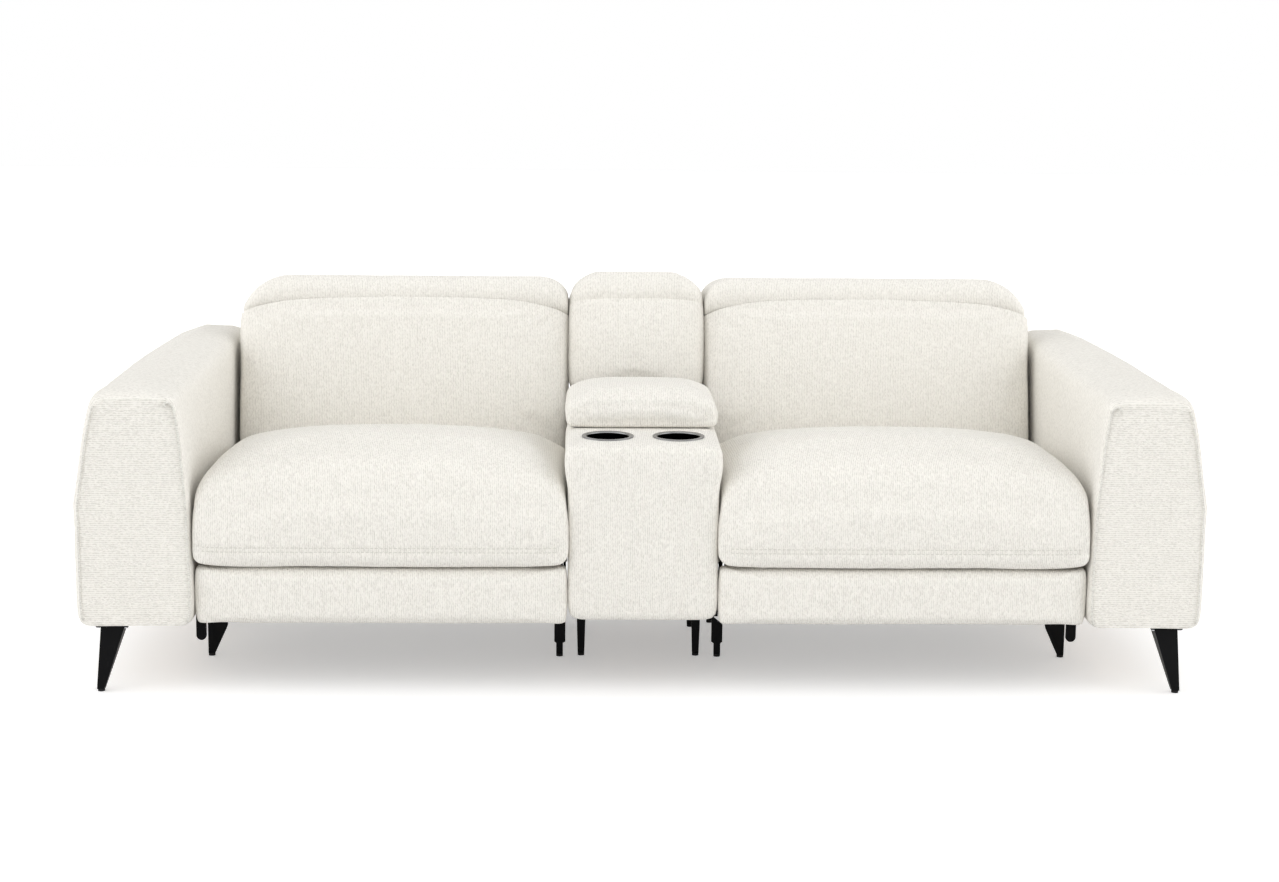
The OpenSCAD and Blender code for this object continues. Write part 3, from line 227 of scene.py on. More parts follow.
def make_coat(name, color, roughness, metallic=0.0, grain=900.0, depth=0.03 * MM):
    material, tree, shader, place = start_material(name, color, roughness, metallic)
    where = place["Object"]
    patches = noise_value(tree, where, 14.0, 4.0)
    tree.links.new(remap(tree, patches, 0.3, 0.7, roughness * 0.85, roughness * 1.15),
                   shader.inputs["Roughness"])
    if not metallic:
        shader.inputs["Specular IOR Level"].default_value = COAT_SHINE
    worn = tuple(min(1.0, c * 1.3 + 0.001) for c in color)
    tree.links.new(blend_colors(tree, remap(tree, patches, 0.45, 0.75), color, worn),
                   shader.inputs["Base Color"])
    relief(tree, shader, noise_value(tree, where, grain, 2.0), depth)
    return material


def make_brushed(name, color, roughness, scale):
    """Brushed metal. scale stretches the scratches along one axis."""
    material, tree, shader, place = start_material(name, color, roughness, 1.0)
    shader.inputs["Anisotropic"].default_value = 0.5
    scratches = noise_value(tree, stretch(tree, place["Object"], scale), 1.0, 4.0, 0.7)
    tree.links.new(remap(tree, scratches, 0.3, 0.7, roughness * 0.7, roughness * 1.35),
                   shader.inputs["Roughness"])
    darker = tuple(c * 0.82 for c in color)
    tree.links.new(blend_colors(tree, scratches, darker, color), shader.inputs["Base Color"])
    relief(tree, shader, scratches, 0.02 * MM)
    return material


def make_plywood(name):
    material, tree, shader, place = start_material(name, (0.70, 0.53, 0.33), 0.62)
    where = place["Object"]
    grain = noise_value(tree, stretch(tree, where, (6.0, 90.0, 90.0)), 1.0, 5.0, 0.6)
    face = blend_colors(tree, remap(tree, grain, 0.3, 0.7), (0.56, 0.39, 0.22),
                        (0.74, 0.57, 0.37))
    plies = add_node(tree, "TexWave", {"bands_direction": "Y", "wave_profile": "SAW"},
                     Vector=where, Scale=math.tau / WAVE_TURNS / PLY, Distortion=0.6,
                     Detail=1.0).outputs["Fac"]
    edge = blend_colors(tree, plies, (0.40, 0.26, 0.14), (0.72, 0.54, 0.34))
    normal = add_node(tree, "SeparateXYZ", Vector=place["Normal"]).outputs[2]
    upward = remap(tree, math_node(tree, "ABSOLUTE", normal), 0.7, 0.9)
    tree.links.new(blend_colors(tree, upward, face, edge), shader.inputs["Base Color"])
    relief(tree, shader, grain, 0.15 * MM, 0.6)
    return material


leg_coat = make_coat("leg_coat", (0.003, 0.003, 0.0034), 0.45)
steel_coat = make_coat("mechanism_coat", (0.006, 0.006, 0.0065), 0.5)
plastic = make_coat("moulded_plastic", (0.02, 0.02, 0.021), 0.55, grain=1600.0)
zinc = make_coat("zinc_plate", (0.55, 0.55, 0.56), 0.34, 1.0, grain=260.0)
cup_steel = make_brushed("cup_steel", (0.27, 0.27, 0.27), 0.26, (30.0, 30.0, 1400.0))
cup_inner = make_brushed("cup_inner", (0.035, 0.035, 0.035), 0.16, (30.0, 30.0, 1400.0))
button_steel = make_brushed("button_steel", (0.6, 0.6, 0.61), 0.3, (40.0, 1200.0, 40.0))
plywood = make_plywood("plywood")
felt = make_coat("black_felt", (0.012, 0.012, 0.012), 0.95, grain=2600.0, depth=0.2 * MM)
print("hard finishes:", leg_coat.name, steel_coat.name, plastic.name, zinc.name, plywood.name)

# %% [markdown]
# ## Finishing the hard parts
# The solids of the legs, links, tubes, frames, boards and motors have the right shapes, so
# they stay. Each gets its finish, and the wooden, plastic and black steel ones get a small
# bevel, because no real edge is perfectly sharp. A bevel modifier leaves the mesh itself as
# it was.

# %% Dress the hard parts
FINISH = {
    "leg_steel": leg_coat,
    "mechanism_steel": steel_coat,
    "bright_steel": zinc,
    "cup_steel": cup_steel,
    "timber": plywood,
    "plastic": plastic,
    "fabric": cloth,
}
# Solids that are lined with felt
LINED = ("lid_board",)
slots = {part["node"]: part["material_slot"] for part in frame["record"]["subparts"]}
# The width of each finish's bevel
BEVEL = {"timber": 1.2, "plastic": 0.9, "leg_steel": 0.7, "mechanism_steel": 0.5}
for name, node in frame["nodes"].items():
    node.data.materials.clear()
    node.data.materials.append(felt if name in LINED else FINISH[slots[name]])
    width = BEVEL.get(slots[name], 0.0)
    if width:
        bevel = node.modifiers.new("soft_edges", "BEVEL")
        bevel.width = width * MM
        bevel.segments = 2
        bevel.limit_method = "ANGLE"
        bevel.angle_limit = math.radians(40)
print("dressed", len(frame["nodes"]), "solids")

# %% [markdown]
# ## From rings to a skin
# A cushion is a row of rings, from one end to the other, with a skin stretched over them. A
# ring is a rounded rectangle whose corners follow a power curve. Only a few rings are given.
# The ones between them come from a smooth curve that never overshoots, so a flat
# stretch stays flat. Points are then spread evenly round each ring, which keeps the faces
# near square, and the ends are closed by smaller and smaller rings that bulge outwards.

# %% Ring helpers
# Points round a ring, and round the finer outline that they are taken from
RING, OUTLINE = 112, 480


def clamp(value):
    return min(1.0, max(0.0, value))


def power(value, exponent):
    return math.copysign(abs(value) ** exponent, value)


def even(points):
    """Spreads a ring's points evenly round a closed outline."""
    loop = points + [points[0]]
    length = [0.0]
    for a, b in zip(loop, loop[1:]):
        length.append(length[-1] + math.dist(a, b))
    result, k = [], 0
    for i in range(RING):
        target = length[-1] * i / RING
        while length[k + 1] < target:
            k += 1
        share = (target - length[k]) / (length[k + 1] - length[k])
        result.append([u + (v - u) * share for u, v in zip(loop[k], loop[k + 1])])
    return result


def oval(half_w, low, wide, high, power_low, power_high):
    """A rounded rectangle, widest at the height wide, as [across, up]."""
    points = []
    for k in range(OUTLINE):
        a = math.tau * k / OUTLINE
        below = math.sin(a) < 0
        exponent = 2 / (power_low if below else power_high)
        reach = wide - low if below else high - wide
        points.append([half_w * power(math.cos(a), exponent),
                       wide + reach * power(math.sin(a), exponent)])
    return points


def fill_rows(table, steps=5):
    """Rows between the given ones. The curve through them doesn't overshoot."""
    n = len(table)
    spans = [b[0] - a[0] for a, b in zip(table, table[1:])]
    # A row's slope is the harmonic mean of the slopes before and after it, or 0 at a peak
    slopes = []
    for c in range(1, len(table[0])):
        d = [(b[c] - a[c]) / h for a, b, h in zip(table, table[1:], spans)]
        m = [d[0]] + [0 if p * q <= 0 else 2 * p * q / (p + q) for p, q in zip(d, d[1:])] + [d[-1]]
        slopes.append(m)
    rows = []
    for i in range(n - 1):
        for k in range(steps):
            t = k / steps
            h = spans[i]
            row = [table[i][0] + t * h]
            for c, m in enumerate(slopes, 1):
                a, b = table[i][c], table[i + 1][c]
                row.append(a * (1 + 2 * t) * (1 - t) ** 2 + h * m[i] * t * (1 - t) ** 2
                           + b * t * t * (3 - 2 * t) + h * m[i + 1] * t * t * (t - 1))
            rows.append(row)
    return rows + [list(table[-1])]


print("rings of", RING, "points")

# %% [markdown]
# ## Stretching the skin
# A mesh is a list of points and a list of faces that join them. Each ring is joined to the
# next by a band of four-sided faces. Blender shades them smoothly, and a face's direction
# is set from the closed mesh, so no band can end up inside out.


# %% Skin helpers
END_SHARES = [0.96, 0.9, 0.8, 0.65, 0.5, 0.34, 0.18, 0.06]


def make_object(name, points, faces, materials, face_material=None):
    mesh = bpy.data.meshes.new(name)
    mesh.from_pydata([Vector(p) * MM for p in points], [], faces)
    piece = bpy.data.objects.new(name, mesh)
    bpy.context.scene.collection.objects.link(piece)
    for material in materials:
        mesh.materials.append(material)
    for i, polygon in enumerate(mesh.polygons):
        polygon.use_smooth = True
        if face_material:
            polygon.material_index = face_material[i]
    outward(mesh)
    return piece


def outward(mesh):
    """Turns every face of a closed mesh outwards."""
    work = bmesh.new()
    work.from_mesh(mesh)
    bmesh.ops.recalc_face_normals(work, faces=work.faces)
    work.to_mesh(mesh)
    work.free()


def close_end(ring, next_ring, bulge):
    """Smaller and smaller rings from an end to its middle, domed outwards by bulge."""
    middle = sum(ring, Vector()) / len(ring)
    out = (middle - sum(next_ring, Vector()) / len(next_ring)).normalized()
    return [[middle + (p - middle) * s + out * bulge * (1 - s ** 4) for p in ring]
            for s in END_SHARES]


def skin(name, rings, bulge=(0, 0), materials=(cloth,), first_rows=0):
    """A closed skin over rings. The first rows of faces take the second material."""
    n = len(rings[0])
    head = close_end(rings[0], rings[1], bulge[0])[::-1]
    tail = close_end(rings[-1], rings[-2], bulge[1])
    rows = head + rings + tail
    points = [p for ring in rows for p in ring]
    faces, index = [], []
    for i in range(len(rows) - 1):
        for k in range(n):
            j = (k + 1) % n
            faces.append((i * n + k, (i + 1) * n + k, (i + 1) * n + j, i * n + j))
            index.append(1 if i < len(head) + first_rows - 1 and len(materials) > 1 else 0)
    last = (len(rows) - 1) * n
    faces += [tuple(range(n)), tuple(range(last + n - 1, last - 1, -1))]
    index += [index[0], 0]
    return make_object(name, points, faces, materials, index)


print("each end is closed by", len(END_SHARES), "smaller rings")

# %% [markdown]
# ## Changing a mesh after it is made
# Some steps need Blender's modifiers: cutting a pocket, or rounding an edge. Each modifier
# is applied at once, so that the final mesh holds what is seen. A sharp edge is marked
# where two faces meet at a steep angle, and everything else is shaded smooth. Blocks and
# prisms are cut out with a boolean, and a slow noise lets a flat cover wander a little.


# %% Finishing helpers
def apply_modifiers(piece):
    view = bpy.context.evaluated_depsgraph_get()
    view.update()
    mesh = bpy.data.meshes.new_from_object(piece.evaluated_get(view))
    old = piece.data
    piece.modifiers.clear()
    piece.data = mesh
    bpy.data.meshes.remove(old)
    return piece


def mark_sharp(piece, degrees=50):
    work = bmesh.new()
    work.from_mesh(piece.data)
    for face in work.faces:
        face.smooth = True
    for edge in work.edges:
        edge.smooth = len(edge.link_faces) != 2 or edge.calc_face_angle(0) < math.radians(degrees)
    work.to_mesh(piece.data)
    work.free()
    return piece


print("finishing helpers ready")


# %% Cutting helpers
def block(low, high):
    """A closed box between two corners, to cut with."""
    points = [(x, y, z) for x in (low[0], high[0]) for y in (low[1], high[1])
              for z in (low[2], high[2])]
    faces = [(0, 1, 3, 2), (4, 6, 7, 5), (0, 4, 5, 1), (2, 3, 7, 6), (0, 2, 6, 4), (1, 5, 7, 3)]
    return make_object("cutter", points, faces, [])


def prism(outline, axis, start, end):
    """An outline pushed along one axis. Its two numbers fill the other two axes."""
    points = []
    for level in (start, end):
        for u, v in outline:
            point = [u, v]
            point.insert(axis, level)
            points.append(point)
    n = len(outline)
    faces = [tuple(range(n)), tuple(range(2 * n - 1, n - 1, -1))]
    faces += [(k, k + n, (k + 1) % n + n, (k + 1) % n) for k in range(n)]
    return make_object("cutter", points, faces, [])


def circle(center, radius, count=96):
    return [(center[0] + radius * math.cos(math.tau * k / count),
             center[1] + radius * math.sin(math.tau * k / count)) for k in range(count)]


def carve(piece, cutters):
    for cutter in cutters:
        cut = piece.modifiers.new("pocket", "BOOLEAN")
        cut.operation = "DIFFERENCE"
        cut.solver = "EXACT"
        cut.object = cutter
    apply_modifiers(piece)
    for cutter in cutters:
        bpy.data.objects.remove(cutter)
    mark_sharp(piece)


def ripple(piece, amount, size, seed):
    """Moves each point along its normal, in soft waves of a given size."""
    mesh = piece.data
    offset = Vector((seed, seed * 0.7, seed * 1.3))
    normals = [v.normal.copy() for v in mesh.vertices]
    for vertex, normal in zip(mesh.vertices, normals):
        where = vertex.co / (size * MM) + offset
        wave = noise.noise(where) + 0.4 * noise.noise(where * 2.3)
        vertex.co += normal * wave * amount * MM


print("cutting helpers ready")

# %% [markdown]
# ## Blowing up a pad
# Foam under a tight cover swells between its seams. Blender's cloth can do the same: the
# skin is rebuilt from small even faces, held where the pad rests on its board, and blown up
# for twenty frames without gravity. A cap keeps every point near where it was, so that the
# pad can't grow into its neighbours. The result is kept as a plain mesh.

# %% Cloth helpers
FRAMES = 20
PRESSURE = 4.0


def blow_up(piece, cap, held):
    """Runs the cloth, and keeps every point within cap, in mm, of where it was."""
    pins = piece.vertex_groups.new(name="held")
    pins.add([v.index for v in piece.data.vertices if held(v.co / MM)], 1.0, "REPLACE")
    swell = piece.modifiers.new("swell", "CLOTH")
    swell.settings.quality = 4
    swell.settings.mass = 0.3
    swell.settings.tension_stiffness = 12
    swell.settings.compression_stiffness = 12
    swell.settings.bending_stiffness = 1.5
    swell.settings.use_pressure = True
    swell.settings.uniform_pressure_force = PRESSURE
    swell.settings.vertex_group_mass = "held"
    swell.settings.effector_weights.gravity = 0
    swell.collision_settings.use_collision = False
    before = [v.co.copy() for v in piece.data.vertices]
    for step in range(1, FRAMES + 1):
        bpy.context.scene.frame_set(step)
    apply_modifiers(piece)
    bpy.context.scene.frame_set(1)
    most = 0.0
    for vertex, start in zip(piece.data.vertices, before):
        move = vertex.co - start
        most = max(most, move.length)
        if move.length > cap * MM:
            vertex.co = start + move * (cap * MM / move.length)
    piece.vertex_groups.clear()
    print(piece.name, "moved up to", round(most / MM, 1), "mm before the cap")


def puff(piece, voxel, cap, held):
    """Swells a pad. held(point in mm) says which points stay where they are."""
    remesh = piece.modifiers.new("even_faces", "REMESH")
    remesh.mode = "VOXEL"
    remesh.voxel_size = voxel * MM
    remesh.use_smooth_shade = True
    apply_modifiers(piece)
    relax = piece.modifiers.new("relax", "SMOOTH")
    relax.factor = 0.5
    relax.iterations = 2
    apply_modifiers(piece)
    blow_up(piece, cap, held)
    rest = piece.modifiers.new("settle", "SMOOTH")
    rest.factor = 0.5
    rest.iterations = 3
    finer = piece.modifiers.new("finer", "SUBSURF")
    finer.levels = 1
    apply_modifiers(piece)
    for polygon in piece.data.polygons:
        polygon.use_smooth = True


print("cloth runs for", FRAMES, "frames")

# %% [markdown]
# ## Saying what a piece is
# Every piece rides on a body of the sofa, so that it moves when that body does, and the
# solid that it stands for is hidden. The left half of the sofa is the mirror image of the
# right one.


# %% Placing helpers
def upholster(piece, body, nodes=()):
    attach(piece, body)
    if nodes:
        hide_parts(*nodes)
    print(piece.name, "on", body, "with", len(piece.data.polygons), "faces")


def mirrored(piece, name):
    mesh = piece.data.copy()
    mesh.name = name
    for vertex in mesh.vertices:
        vertex.co.x = -vertex.co.x
    mesh.flip_normals()
    twin = bpy.data.objects.new(name, mesh)
    bpy.context.scene.collection.objects.link(twin)
    return twin


def upholster_pair(piece, body, node=None):
    """A right piece and its left twin. A body or node is named without its side."""
    kind = piece.name.removeprefix("right_")
    twin = mirrored(piece, "left_" + kind)
    for side, half in (("right_", piece), ("left_", twin)):
        where = body if body == "root" else side + body
        upholster(half, where, [side + node] if node else ())


print("left pieces are mirror images")

# %% [markdown]
# ## Piping and stitches
# Piping is a thin cord in its own strip of cloth, sewn into a seam. A tube along the seam's
# points makes it. A row of topstitching is many short stitches, each a small bent tube that
# sinks into the cloth at both ends, so it catches light as thread does.

# %% Tube helpers
PIPING, REAR_PIPING = 2.5, 2.3


def tube(name, path, radius, material=piping_cloth, around=10, closed=False):
    """A round tube along a path in mm."""
    path = [Vector(p) for p in path]
    n = len(path)
    points, faces = [], []
    side = None
    for i, p in enumerate(path):
        a = path[(i - 1) % n] if closed or i > 0 else p
        b = path[(i + 1) % n] if closed or i < n - 1 else p
        along = (b - a).normalized()
        if side is None:
            side = along.cross(Vector((0, 1, 0)) if abs(along.y) < 0.9 else Vector((1, 0, 0)))
        side = (side - along * side.dot(along)).normalized()
        up = along.cross(side)
        r = radius(i / (n - 1)) if callable(radius) else radius
        for k in range(around):
            turn = math.tau * k / around
            points.append(p + (side * math.cos(turn) + up * math.sin(turn)) * r)
    for i in range(n if closed else n - 1):
        for k in range(around):
            j = (k + 1) % around
            a, b = i * around, ((i + 1) % n) * around
            faces.append((a + k, a + j, b + j, b + k))
    if not closed:
        faces.append(tuple(range(around - 1, -1, -1)))
        faces.append(tuple(range((n - 1) * around, n * around)))
    return make_object(name, points, faces, [material])


def join(name, pieces):
    """Puts several meshes into one piece."""
    work = bmesh.new()
    for piece in pieces:
        work.from_mesh(piece.data)
    mesh = bpy.data.meshes.new(name)
    work.to_mesh(mesh)
    work.free()
    for material in pieces[0].data.materials:
        mesh.materials.append(material)
    for piece in pieces:
        bpy.data.objects.remove(piece)
    whole = bpy.data.objects.new(name, mesh)
    bpy.context.scene.collection.objects.link(whole)
    return whole


print("piping is", 2 * PIPING, "mm thick")

# %% Stitch helpers
STITCH, STITCH_GAP, THREAD = 6.0, 2.6, 0.8
# One stitch's bend, in its lengths along the seam and its thicknesses above the cloth
BOW = [(-0.5, -0.5), (-0.3, 0.25), (0, 0.5), (0.3, 0.25), (0.5, -0.5)]


def stitches(name, line):
    """Short stitches along a line of surface points in mm, with the outward direction."""
    parts = []
    walked = 0.0
    for (a, out), (b, _) in zip(line, line[1:]):
        step = (b - a).length
        if walked + step >= STITCH + STITCH_GAP:
            along = (b - a).normalized()
            path = [b + along * s * STITCH + out * h * THREAD * 2 for s, h in BOW]
            parts.append(tube(name, path, THREAD, thread, around=6))
            walked = 0.0
        else:
            walked += step
    return join(name, parts)


def surface_line(piece, points, direction):
    """Where rays from points, in mm, meet a piece, with the surface's outward normal."""
    tree = BVHTree.FromObject(piece, bpy.context.evaluated_depsgraph_get())
    line = []
    for p in points:
        spot, normal, _, _ = tree.ray_cast(Vector(p) * MM, Vector(direction))
        if spot is not None:
            line.append((spot / MM, normal.copy()))
    return line


print("a stitch every", STITCH + STITCH_GAP, "mm")

# %% [markdown]
# ## The arms
# Each arm is a padded box that narrows towards its top. The cloth of its sides and top is one
# wrap. The front is a separate panel, cut with its ribs across, and sewn in with piping down
# both sides. The wrap bulges past that seam by about a centimetre on the outside, which
# gives the thin bright strip beside the front panel. The skin starts in the middle of the
# front panel, spreads out to the seam, rolls round the edge and runs back. The plywood box,
# the control plate and the hook to the seat sit in pockets, as in the solid.

# %% The arms' outline
FRONT, REAR = -480.0, 382.0
ARM_INNER, ARM_OUTER = 872.0, 1100.0
ARM_LOW, ARM_TOP, ARM_RISE, ARM_FULL = 139.0, 607.0, 11.0, 380.0
# Padding that grows towards the middle of the length, and the cloth past the inner side
ARM_SWELL, ARM_COVER = 4.0, 1.5
# How far each side leans in at the top of the front
INNER_LEAN, OUTER_LEAN = 24.0, 48.0
# How far the top dips at the very front, how far the outer shoulder sticks out there, and
# the lengths over which the two fade
NOSE, SHOULDER, NOSE_FADE, SHOULDER_FADE = 20.0, 12.0, 28.0, 60.0
# How far the top's edges round down at the front, and how much more behind it
EDGE_FRONT, EDGE_MORE = 4.0, 24.0


def arm_ring(y, inset_in, inset_out, inset_end):
    """The arm's outline at a depth y, drawn in at its sides and its ends."""
    back = (y - FRONT) / (REAR - FRONT)
    behind = max(0.0, y - FRONT)
    swell = math.sin(math.pi * clamp(back))
    top = ARM_TOP + ARM_RISE * back + ARM_SWELL * swell - inset_end
    top -= NOSE * math.exp(-behind / NOSE_FADE)
    low = ARM_LOW + inset_end * 0.6
    edge = EDGE_FRONT + EDGE_MORE * (1 - (1 - clamp(back)) ** 6)
    ring = []
    for u, z in oval(1, low, ARM_FULL, top, 16, 20):
        s = max(0.0, (z - ARM_FULL) / (top - ARM_FULL))
        t = max(0.0, (z - low) / (top - low))
        inner = ARM_INNER - ARM_COVER + INNER_LEAN * (1 - back) * t ** 3 + inset_in
        lean = (OUTER_LEAN - 2 * ARM_SWELL * swell) * s ** 1.6
        outer = ARM_OUTER - ARM_SWELL + ARM_SWELL * swell - lean - inset_out
        outer += SHOULDER * s ** 3 * math.exp(-behind / SHOULDER_FADE)
        drop = edge * (u + 0.24 * back) ** 2 * s ** 6
        ring.append([(inner + outer) / 2 + u * (outer - inner) / 2, z - drop])
    return [Vector((x, y, z)) for x, z in even(ring)]


print("the arms are", ARM_OUTER - ARM_INNER, "mm wide")

# %% The arms' skin
# The front panel is this much smaller than the wrap on its inside, outside and ends
SEAM_IN, SEAM_OUT, SEAM_END = 6.0, 10.0, 3.0
SEAM_Y, SEAM_ROLL, REAR_ROLL = FRONT + 6, 20.0, 14.0
SEAM_STEPS, REAR_STEPS, BODY_STEP = 8, 6, 16
# A pocket has this much room round the solid in it
FIT = 0.3
# The places of the plywood box, the control plate and the hook
BOX_X, BOX_Y, BOX_TOP = (919.0, 1038), (-456, 358), 575
PLATE_X, PLATE_Y, PLATE_Z = 1079.5, (-306, -194), (375, 425)
HOOK_Y, HOOK_Z = (-110, -70), (196, 226)
seam = arm_ring(SEAM_Y, SEAM_IN, SEAM_OUT, SEAM_END)
roll = []
for k in range(1, SEAM_STEPS + 1):
    turn = math.radians(90 * k / SEAM_STEPS)
    left = 1 - math.sin(turn)
    roll.append(arm_ring(SEAM_Y + SEAM_ROLL * (1 - math.cos(turn)),
                         SEAM_IN * left, SEAM_OUT * left, SEAM_END * left))
body = [arm_ring(FRONT + y, 0, 0, 0) for y in range(42, 842, BODY_STEP)]
tail = []
for k in range(REAR_STEPS + 1):
    turn = math.radians(90 * k / REAR_STEPS)
    draw = REAR_ROLL * (1 - math.cos(turn))
    tail.append(arm_ring(REAR - REAR_ROLL * (1 - math.sin(turn)) - 1, draw, draw, draw))
arm = skin("right_arm_upholstery", [seam] + roll + body + tail, (5, 3),
           (arm_cloth, panel_cloth), 1)
ripple(arm, 1.3, 150, 3.0)
ripple(arm, 0.5, 42, 9.0)
box_pocket = block((BOX_X[0] - FIT, BOX_Y[0] - FIT, 0),
                   (BOX_X[1] + FIT, BOX_Y[1] + FIT, BOX_TOP + FIT))
plate_pocket = block((PLATE_X, PLATE_Y[0], PLATE_Z[0]), (1200, PLATE_Y[1], PLATE_Z[1]))
hook_pocket = block((800, HOOK_Y[0] - FIT, HOOK_Z[0] - FIT),
                    (960, HOOK_Y[1] + FIT, HOOK_Z[1] + FIT))
carve(arm, [box_pocket, plate_pocket, hook_pocket])
upholster_pair(arm, "root", "arm_cover")

# %% [markdown]
# ## Piping on the arms
# The piping runs up both sides of the front panel. At the inner top corner it ends in a
# small tuck, where the upholsterer folded the spare cloth under. The rear panel has piping
# all round, as such arms have, though the picture doesn't show it.


# %% Piping and tucks
SEAM_LOW, SEAM_HIGH = 146.0, 573.0
# The tuck's steps from the corner, and how much thicker it gets over the last of its length
TUCK = ((3, -1.0, 5), (8, -3.5, 9), (13, -5, 8.5), (15, -5.5, 4.5), (12.5, -4.5, 2.0))
TUCK_MORE, TUCK_SHARE = 1.6, 0.07


def seam_side(sign):
    """Points of the front seam on its outer (1) or inner (-1) side, from below."""
    middle = sum(p.x for p in seam) / len(seam)
    side = [p for p in seam if (p.x - middle) * sign > 0 and SEAM_LOW < p.z < SEAM_HIGH]
    return [p + Vector((0, -1.2, 0)) for p in sorted(side, key=lambda p: p.z)]


def tuck_radius(t):
    return PIPING + TUCK_MORE * max(0.0, (t - (1 - TUCK_SHARE)) / TUCK_SHARE)


inner_side = seam_side(-1)
tuck = [inner_side[-1] + Vector(offset) for offset in TUCK]
piping = join("right_arm_piping", [
    tube("piping", seam_side(1), PIPING),
    tube("piping", inner_side + tuck, tuck_radius),
    tube("piping", [p + Vector((0, 1.5, 0)) for p in tail[4]], REAR_PIPING, closed=True),
])
upholster_pair(piping, "root")

# %% [markdown]
# ## The seat cushions
# The seat cushion is the piece that people look at first. Its front is full and rounded, its
# top is crowned from side to side, and it slopes down towards the backrest. The rings run
# from front to back. The foam rests on the springs behind a lip that hangs in front of the
# frame. The skin starts a few millimetres wider than the solid, as a stuffed cover does,
# and a little lower, and the cloth run fills it out.

# %% The seat cushions
SEAT_X, SEAT_HALF, SEAT_DEPTH, SEAT_SWELL = 508.5, 361.5, 568.0, 3.0
# The lip's lower edge, the underside behind it, the widest line and the crown above that
SEAT_HEM, SEAT_BASE, SEAT_LINE, SEAT_CROWN = 258.8, 340.6, 380.0, 118.0
# Where the lip ends, as shares of the depth
LIP_SHARE, LIP_STEP_SHARE = 0.0634, 0.004
# Room that is left for the cloth run to swell into
ROOM = 1.5
# Station along the depth, drawn-in side, raised low edge, dropped widest line, crown
SEAT_ROWS = [[0, 4, 2, 40, 0.58], [0.006, 1.5, 0.4, 25, 0.60], [0.024, 0, 0, 14, 0.68],
             [0.05, 0, 0, 6, 0.77], [0.14, 0, 0, 0, 0.89], [0.26, 0, 0, 0, 0.97],
             [0.4, 0, 0, 0, 0.95], [0.62, 1, 0, 0, 0.78], [0.82, 2, 0, 0, 0.6],
             [0.95, 6, 0, 0, 0.44], [1, 18, 12, 0, 0.24]]
seat_rings = []
for share, draw, lift, drop, crown in fill_rows(SEAT_ROWS):
    lip = clamp((share - LIP_SHARE) / LIP_STEP_SHARE)
    low = SEAT_HEM + (SEAT_BASE - SEAT_HEM) * lip + lift
    line = SEAT_LINE - drop
    squareness = 3.3 - 0.7 * min(1.0, share / 0.3)
    ring = oval(SEAT_HALF + SEAT_SWELL - draw, low, line, line + SEAT_CROWN * crown - ROOM, 16,
                squareness)
    seat_rings.append([Vector((SEAT_X + x, FRONT + 2 + share * (SEAT_DEPTH - 4), z))
                       for x, z in even(ring)])


def seat_held(p):
    """The rear, the lip's edge and the underside, which rest on the frame."""
    return p.y > 60 or p.z < 268 or (p.z < 345 and p.y > -440)


seat = skin("right_seat_pad", seat_rings, (4, 4))
puff(seat, 7, 7, seat_held)
print("seat pad:", [round(v / MM) for v in seat.dimensions], "mm")

# %% [markdown]
# ## Stitching the seats
# A double row of topstitching runs along the front, three to four centimetres above its lower
# edge. The thread pulls the cloth in, so the pad gets a shallow groove under each row first.
# Rays shot at the front find the surface, and the stitches follow it.

# %% Groove and stitches
STITCH_ROWS, STITCH_REACH = (291.0, 299.0), 345
GROOVE_DEPTH, GROOVE_HALF = 1.8, 2.6
for vertex in seat.data.vertices:
    where = vertex.co / MM
    if where.y < FRONT + 60 and abs(where.x - SEAT_X) < SEAT_HALF:
        for z in STITCH_ROWS:
            vertex.co.y += GROOVE_DEPTH * MM * math.exp(-((where.z - z) / GROOVE_HALF) ** 2)
ripple(seat, 1.5, 160, 5.0)
ripple(seat, 0.45, 38, 2.0)
bpy.context.view_layer.update()
thread_rows = []
for z in STITCH_ROWS:
    starts = [(SEAT_X + x, FRONT - 60, z) for x in range(-STITCH_REACH, STITCH_REACH + 1)]
    thread_rows.append(stitches("row", surface_line(seat, starts, (0, 1, 0))))
seat_thread = join("right_seat_topstitch", thread_rows)
upholster_pair(seat, "root", "seat_cushion")
upholster_pair(seat_thread, "root")

# %% [markdown]
# ## The seat's side skirts
# The frame under a seat would show through the narrow gaps beside it. A real seat has a
# strip of cloth stapled down each side for this. Each skirt is a thin board-like strip with
# soft edges that hangs between the steel side plate and its neighbour.

# %% The skirts
SKIRT_SIDES = ((147.8, 150.4), (866.6, 869.2))
SKIRT_Y, SKIRT_Z = (-418, 86), (258, 352)
skirts = []
for x0, x1 in SKIRT_SIDES:
    strip = block((x0, SKIRT_Y[0], SKIRT_Z[0]), (x1, SKIRT_Y[1], SKIRT_Z[1]))
    strip.data.materials.append(cloth)
    bevel = strip.modifiers.new("round", "BEVEL")
    bevel.width = 1.1 * MM
    bevel.segments = 3
    skirts.append(apply_modifiers(strip))
upholster_pair(join("right_seat_skirts", skirts), "root")

# %% [markdown]
# ## The footrest pads
# The footrest pad is thin, firm foam on a board, so it keeps a nearly square section with
# soft edges. It is made from rings that run from its lower edge to its upper one, and its
# face swells a little in the cloth run. Its back is flat against the board.

# %% The footrest pads
FOOT_LOW, FOOT_HIGH, FOOT_FACE, FOOT_BACK = 139.6, 258.0, -478.0, -424.0
FOOT_ROOM = 1.0
